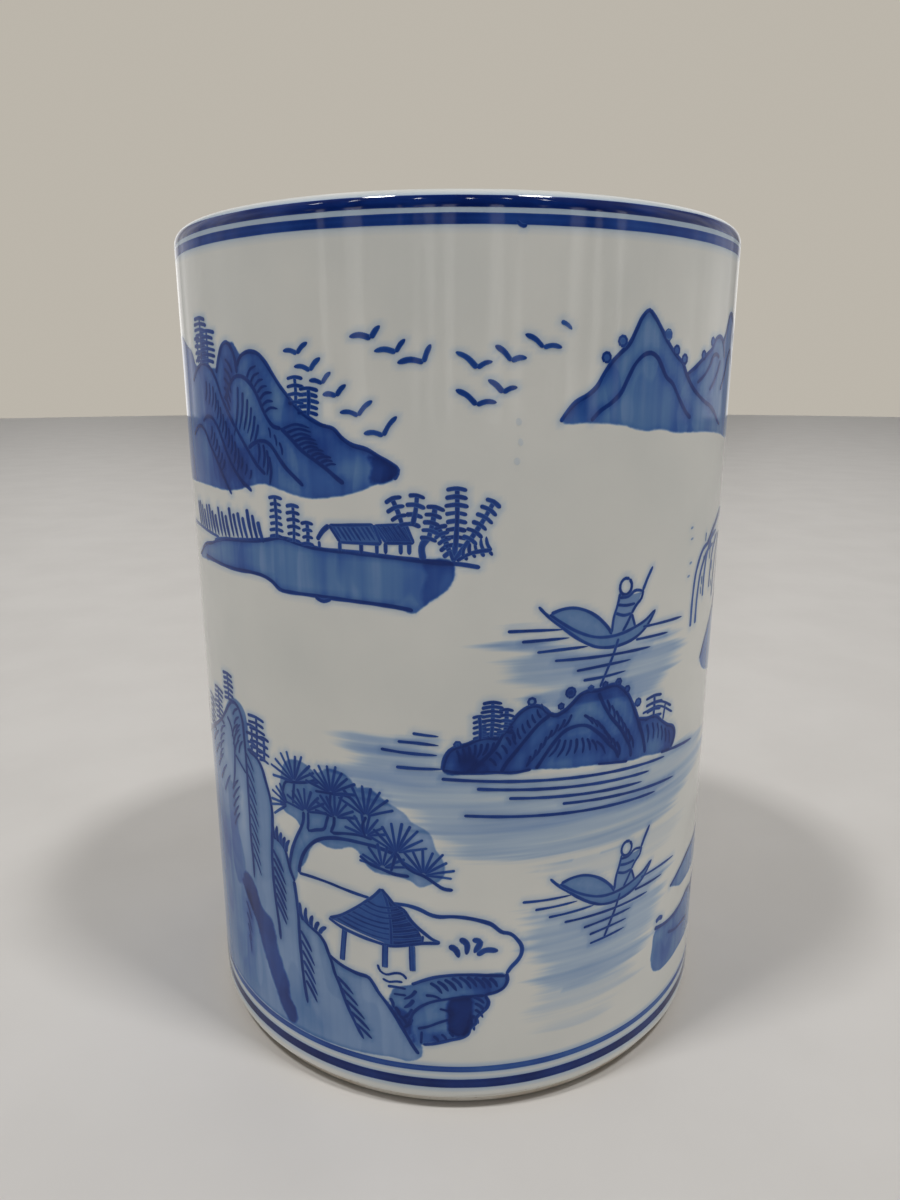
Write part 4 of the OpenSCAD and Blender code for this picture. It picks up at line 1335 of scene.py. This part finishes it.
# %% Outer glaze
def wall_cobalt(finish):
    """Thickness of cobalt over the wall."""
    ragged = 0.5 * finish.grain(1.5, detail=3.0) - 0.25
    edge = finish.amount("wash_edge") + ragged
    inside = edge.ease(-0.22, 0.3)
    rim = inside - edge.ease(0.1, 1.3)
    pulls = finish.grain(2.2, stretch=(1, 1, 16), detail=2.0, shift=3.0)
    clouds = finish.grain(12, detail=3.0, shift=5.0)
    laps = finish.grain(8, stretch=(1, 1, 2.4), detail=1.0, shift=8.0).ease(0.49, 0.53)
    brushed = 0.46 + 0.56 * pulls + 0.52 * clouds + 0.16 * laps
    wash_now = inside * finish.amount("wash_layer") * brushed + rim * 0.16
    dark_edge = finish.amount("patch_edge") + 2 * ragged
    dark_now = dark_edge.ease(-0.5, 0.6) * finish.amount("patch_layer") * (0.7 + 0.6 * clouds)
    level = finish.grain(2.1, stretch=(20, 20, 1), detail=2.5, shift=6.0)
    torn = (finish.amount("water_edge") + 8 * level - 4).ease(-1.0, 1.5)
    water_now = torn * finish.amount("water_layer") * (2.2 * level - 0.1).at_least(0.25)
    return wash_now + dark_now + water_now + finish.amount("bleed")


edge_wave = 0.22 * np.sin(3 * grid_s[0] / POT_R + 1) + 0.12 * np.sin(11 * grid_s[0] / POT_R) + 0.1
mesh_z = grid_z.copy()
for k, share in enumerate([1.0, 1.0, 0.9, 0.4]):
    mesh_z[k] += share * edge_wave
wall_proud = np.array([proud for z, proud in wall_rows])[:, None]
wall_spots, wall_facing = on_wall(grid_s, mesh_z, wall_proud)
RING_BLEED = 0.55
BLEED_REACH = 0.7
for low, high in map(span, ["lip_ring", "under_lip_ring", "fine_foot_ring", "broad_foot_ring"]):
    from_ring = np.clip(np.maximum(low - grid_z, grid_z - high), 0, None)
    np.maximum(bleed, RING_BLEED * np.exp(-((from_ring / BLEED_REACH) ** 2)), out=bleed)
amounts = {
    "wash_edge": wash_edge, "wash_layer": np.clip(wash_layer, 0.3, 4.2),
    "patch_edge": patch_edge, "patch_layer": patch_layer,
    "water_edge": water_edge, "water_layer": np.clip(water_layer, 0.08, 3),
    "bleed": bleed,
}
painted_glaze = glazed("painted_glaze", wall_cobalt)
make_piece("painted_wall", wall_spots, wall_facing, net(len(wall_rows), COLUMNS), painted_glaze, "glaze",
           ["outer_glaze"], **amounts)

# %% [markdown]
# ## The drawn lines
#
# A line that crosses a wash is darker there, because both lie on the same clay. So each point of a line
# also gets the amounts of wash, water and bleed that the wall has under it, and its layer of cobalt is
# the two together.

# %% Lines over washes
def under(amount, s, z):
    """An amount on the grid, read anywhere on the wall."""
    column = (s / ROUND + 0.5) * COLUMNS
    row = np.clip(np.interp(z, row_z, np.arange(len(row_z))), 0, len(row_z) - 1.001)
    k, j = np.floor(column).astype(int), np.floor(row).astype(int)
    right, up = column - k, row - j
    here, beyond = k % COLUMNS, (k + 1) % COLUMNS
    low = amount[j, here] * (1 - right) + amount[j, beyond] * right
    high = amount[j + 1, here] * (1 - right) + amount[j + 1, beyond] * right
    return low * (1 - up) + high * up


def line_cobalt(finish):
    """Thickness of cobalt where a line lies over whatever was washed on the wall."""
    below = wall_cobalt(finish)
    ink = finish.amount("cobalt") * (0.86 + 0.28 * finish.grain(1.6))
    return below + ink - 0.24 * below * ink


inked = glazed("inked_lines", line_cobalt)
for name, marks in groups.items():
    places, spots, facing, faces, ink, count = [], [], [], [], [], 0
    for net_points, layers, proud in marks:
        here, out = on_wall(net_points[..., 0], net_points[..., 1], proud)
        around = np.array(net(*layers.shape, closed=False))
        corner = here.reshape(-1, 3)[around[0]]
        if np.cross(corner[1] - corner[0], corner[3] - corner[0]) @ out[0, 0] < 0:
            around = around[:, ::-1]
        faces += (around + count).tolist()
        places.append(net_points.reshape(-1, 2))
        spots.append(here.reshape(-1, 3))
        facing.append(out.reshape(-1, 3))
        ink.append(layers.ravel())
        count += layers.size
    s, z = np.vstack(places).T
    below = {key: under(amount, s, z) for key, amount in amounts.items()}
    below["cobalt"] = np.concatenate(ink)
    make_piece(name, np.vstack(spots), np.vstack(facing), faces, inked, "cobalt", **below)

# %% [markdown]
# ## The four rings
#
# The rings are banded on while the pot turns on a wheel. The brush is steady but not perfect: the edges
# wander by a tenth of a millimetre, and the cobalt is deeper in some stretches. Each ring is a net five
# points high that follows the same wall function, so the one at the lip climbs round the rounding by
# itself.

# %% Rings
def banded(finish):
    """Thickness of cobalt in a ring."""
    return finish.amount("cobalt") * (0.8 + 0.4 * finish.grain(7, detail=3.0))


RING_COLUMNS = 720
RING_PROUD = 0.02
WANDER = 0.05
ring_s = (np.arange(RING_COLUMNS) / RING_COLUMNS - 0.5) * ROUND


def round_lip(z):
    """A height, turned into the distance along the surface where the lip is round."""
    return z if z <= LIP_Z else LIP_Z + LIP_R * math.asin(min(1, (z - LIP_Z) / LIP_R))


def ring(name, node, slot, layer, seed, mirror=0.2):
    """A banded ring in place of a CAD ring, at the same heights."""
    low, high = map(round_lip, span(node))
    turn = ring_s / POT_R
    phases = random.Random(seed)
    rows = []
    for part in (0.0, 0.12, 0.5, 0.88, 1.0):
        waves = [np.sin(n * turn + phases.uniform(0, 6)) / math.sqrt(n) for n in (2, 5, 11, 23, 41)]
        rows.append(low + (high - low) * part + WANDER * sum(waves))
    z = np.sort(np.array(rows), axis=0)
    deep = layer * (1 + 0.06 * np.sin(3 * turn + seed) + 0.05 * np.sin(17 * turn + seed))
    sides = np.array([0.8, 1.06, 0.97, 1.06, 0.8])[:, None]
    spots, facing = on_wall(np.broadcast_to(ring_s, z.shape), z, RING_PROUD)
    material = glazed(name + "_cobalt", banded, mirror)
    make_piece(name, spots, facing, net(5, RING_COLUMNS), material, slot, [node], cobalt=deep * sides)


ring("lip_band", "lip_ring", "cobalt", 4.2, 1, mirror=0.5)
ring("under_lip_band", "under_lip_ring", "cobalt", 3.3, 2)
ring("fine_foot_band", "fine_foot_ring", "thin_cobalt", 2.7, 3)
ring("broad_foot_band", "broad_foot_ring", "cobalt", 4.25, 4)

# %% [markdown]
# ## The inside
#
# The inner coat runs from the crown of the lip down the wall, round the corner and over the floor.
# Fingers left shallow rings in the clay while it was thrown, closer together near the foot, and the floor
# has rings too. The glaze lies thicker in the corner and looks faintly green there, because a thick coat
# of clear glaze shows the iron in it.

# %% Inner glaze
COAT = round(span("base_glaze")[1] - span("base_glaze")[0], 3)
CORNER_R = round(span("slip_fillet")[1] - span("slip_fillet")[0], 3) - COAT
INNER_R = POT_R - 2 * LIP_R
FLOOR_Z = span("inner_glaze")[0] + COAT
FINGER_HEIGHT = 0.11
ROW_STEP = 1.5
QUARTER = np.radians(np.arange(0, 91, 15))
inner = [(POT_R - LIP_R - LIP_R * math.sin(a), LIP_Z + LIP_R * math.cos(a), -math.sin(a), math.cos(a))
         for a in QUARTER]
for z in np.arange(LIP_Z - ROW_STEP, FLOOR_Z + CORNER_R, -ROW_STEP):
    depth = (LIP_Z - z) / (LIP_Z - FLOOR_Z)
    finger = 1.35 - 0.35 * depth
    beat = (LIP_Z - z) / finger
    deep = FINGER_HEIGHT * min(1, depth * 6)
    inner.append((INNER_R + deep * math.sin(beat), z, -1, -deep * math.cos(beat) / finger))
for a in QUARTER:
    r, z = INNER_R - CORNER_R * (1 - math.cos(a)), FLOOR_Z + CORNER_R * (1 - math.sin(a))
    inner.append((r, z, -math.cos(a), math.sin(a)))
for r in np.arange(INNER_R - CORNER_R - ROW_STEP, 0.5, -ROW_STEP):
    inner.append((r, FLOOR_Z + 0.1 * math.sin(r / 1.4), -0.07 * math.cos(r / 1.4), 1))
inner.append((0.05, FLOOR_Z, 0, 1))
inner_turn = np.arange(COLUMNS) / COLUMNS * 2 * math.pi - math.pi
around, inward = np.sin(inner_turn), -np.cos(inner_turn)
inner_r, inner_z, face_r, face_z = (np.array(column)[:, None] for column in zip(*inner))
level = np.ones_like(around)
inner_spots = np.stack([inner_r * around, inner_r * inward, inner_z * level], -1) * MM
inner_facing = np.stack([face_r * around, face_r * inward, face_z * level], -1)
inner_facing /= np.linalg.norm(inner_facing, axis=-1, keepdims=True)
corner_depth = np.exp(-(((inner_z - FLOOR_Z) / 4) ** 2) - ((inner_r - INNER_R + 1) / 5) ** 2) * level


def thick_glaze(finish):
    """A faint blue-green where glaze has run together."""
    return finish.amount("pooled") * 0.22 + 0.03 * finish.grain(24)


make_piece("inside_glaze", inner_spots, inner_facing, net(len(inner), COLUMNS),
           glazed("inside_clear_glaze", thick_glaze), "glaze", ["inner_glaze"], pooled=corner_depth)

# %% [markdown]
# ## Bare clay
#
# The foot ring is the only clay that shows. It was wiped clean of glaze so that it wouldn't stick to the
# kiln shelf. It is matt and gritty, toasted brown in places by the flame, and grey where it has rubbed on
# tables. The hidden clay members get the same body without the toasting.

# %% Clay materials
def clay(name, pale, toasted, soil):
    finish = Finish(name)
    flame = finish.grain(14, detail=4.0).ease(0.38, 0.68)
    colour = finish.blend(flame, pale, toasted)
    grit = finish.grain(0.7, detail=3.0, shift=3.0)
    colour = finish.blend(grit.ease(0.56, 0.72) * 0.5, colour, soil)
    finish.colour(colour)
    finish.rough(0.78 + 0.2 * grit)
    finish.bump(grit, 0.09)
    return finish.material


bare_foot = clay("bare_foot_clay", rgb(0.60, 0.57, 0.51), rgb(0.46, 0.39, 0.30), rgb(0.26, 0.22, 0.18))
white_body = clay("white_clay_body", rgb(0.72, 0.71, 0.67), rgb(0.66, 0.64, 0.59), rgb(0.45, 0.42, 0.38))


def base_layer(finish):
    """Almost clear, with a few stray touches of cobalt from the painter's hand."""
    return (finish.grain(5, shift=9.0).ease(0.7, 0.8)) * 0.25 + 0.02 * finish.grain(20)


def refinish(node, material):
    """Gives a CAD part another material, without touching its shape."""
    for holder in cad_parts[node].material_slots:
        holder.material = material


refinish("foot_ring", bare_foot)
refinish("base_slab", white_body)
refinish("clay_wall", white_body)
refinish("slip_fillet", white_body)
refinish("base_glaze", glazed("underside_glaze", base_layer))
print("refinished CAD parts: foot_ring, base_slab, clay_wall, slip_fillet, base_glaze")

# %% [markdown]
# ## Floor and light
#
# The floor is a plain pale grey table top. Two lamps hang high on the left and the right, a little in
# front of the pot. They light its sides more than its middle, and throw a soft shadow to each side. A row
# of small bright lamps near the ceiling does little for the light, but gives the sharp glints that run
# along the glossy lip. The room's own light comes from the world: it is brighter behind the pot, where a
# pale wall would be, and dark in front, except for narrow upright windows that leave soft streaks in the
# glaze. What the camera sees of the world is one plain pale colour from every side.

# %% Floor
FLOOR_R = 4.0
floor = Finish("pale_floor")
mottle = floor.grain(60, detail=4.0).ease(0.3, 0.7)
floor.colour(floor.blend(mottle, rgb(0.615, 0.59, 0.56), rgb(0.65, 0.625, 0.595)))
floor.rough(0.42 + 0.1 * floor.grain(4, detail=3.0))
bpy.ops.mesh.primitive_circle_add(vertices=96, radius=FLOOR_R, fill_type="TRIFAN")
table = bpy.context.object
table.name = "floor"
table.data.materials.append(floor.material)
print(f"floor {2 * FLOOR_R:.0f} m across")

# %% Lamps
def lamp(name, turn, climb, away, wide, tall, watts):
    """A flat lamp, turn degrees right of the front and climb degrees up, that shines at the pot."""
    middle = Vector((0, 0, POT_H * MM / 2))
    turn, climb = math.radians(turn), math.radians(climb)
    beam = Vector((math.cos(climb) * math.sin(turn), -math.cos(climb) * math.cos(turn), math.sin(climb)))
    data = bpy.data.lights.new(name, "AREA")
    data.shape = "RECTANGLE"
    data.size = wide
    data.size_y = tall
    data.energy = watts
    holder = bpy.data.objects.new(name, data)
    holder.location = middle + away * beam
    holder.rotation_euler = beam.to_track_quat("Z", "Y").to_euler()
    bpy.context.collection.objects.link(holder)


lamp("left_lamp", -58, 68, 3.0, 0.32, 0.32, 31)
lamp("right_lamp", 58, 68, 3.0, 0.32, 0.32, 31)
for k, (turn, climb) in enumerate([(-66, 46), (-49, 50), (-18, 52), (6, 50), (24, 52), (40, 48)]):
    lamp(f"glint_lamp_{k}", turn, climb, 2.2, 0.06, 0.2, 0.55)
print("lamps:", [light.name for light in bpy.data.lights])

# %% Room
world = bpy.data.worlds.new("room")
world.use_nodes = True
bpy.context.scene.world = world
room = Nodes(world.node_tree)
room.tree.nodes.clear()
direction = room.node("TexCoord")
depth = room.node("SeparateXYZ", {}, {0: direction}, out=1)
up = room.node("SeparateXYZ", {}, {0: direction}, out=2)


def upright(squeeze, detail):
    """Noise over the directions of the room, drawn out up and down."""
    seen_at = room.node("VectorMath", {"operation": "MULTIPLY"}, {0: direction, 1: squeeze})
    return room.node("TexNoise", {}, {"Vector": seen_at, "Scale": 1.0, "Detail": detail})


walls = depth.spread(-0.6, 0.2, 0.0, 0.74) * up.spread(0.1, 0.8, 1.0, 0.3)
things = upright((4.0, 4.0, 0.5), 2.0).spread(0.35, 0.65, 0.35, 1.65)
windows = upright((11.0, 11.0, 0.6), 0.0).spread(0.56, 0.68, 0.0, 1.8)
low_down = up.spread(0.14, 0.34, 1.0, 0.0)
in_front = depth.spread(-0.4, -0.1, 1.0, 0.0)
strength = walls * things + windows * low_down * in_front
shining = room.node("Background", {}, {"Color": rgb(1.0, 0.98, 0.95), "Strength": strength})
seen = room.node("Background", {}, {"Color": rgb(0.50, 0.465, 0.405), "Strength": 1.0})
camera_ray = room.node("LightPath")
choice = room.node("MixShader", {}, {0: camera_ray, 1: shining, 2: seen})
output = room.tree.nodes.new("ShaderNodeOutputWorld")
room.feed(output.inputs[0], choice)
print("nodes in the room:", len(room.tree.nodes))
bpy.context.scene.view_settings.view_transform = "Standard"

# %% Camera
LENS = 25.6
SENSOR = 36
DOWN, LEFT, ROLL = 14.46, 0.46, -0.09
AWAY = 3.38 * POT_R * MM
EYE_Z = 0.1566
camera_data = bpy.data.cameras.new("camera")
camera_data.lens = LENS
camera_data.sensor_width = SENSOR
camera = bpy.data.objects.new("camera", camera_data)
aim = Euler((math.radians(90 - DOWN), 0, math.radians(LEFT))).to_matrix().to_4x4()
roll = Matrix.Rotation(math.radians(ROLL), 4, "Z")
camera.matrix_world = Matrix.Translation((0, -AWAY, EYE_Z)) @ aim @ roll
print(f"camera {AWAY * 1000:.0f} mm in front of the pot's middle")
bpy.context.collection.objects.link(camera)
bpy.context.scene.camera = camera
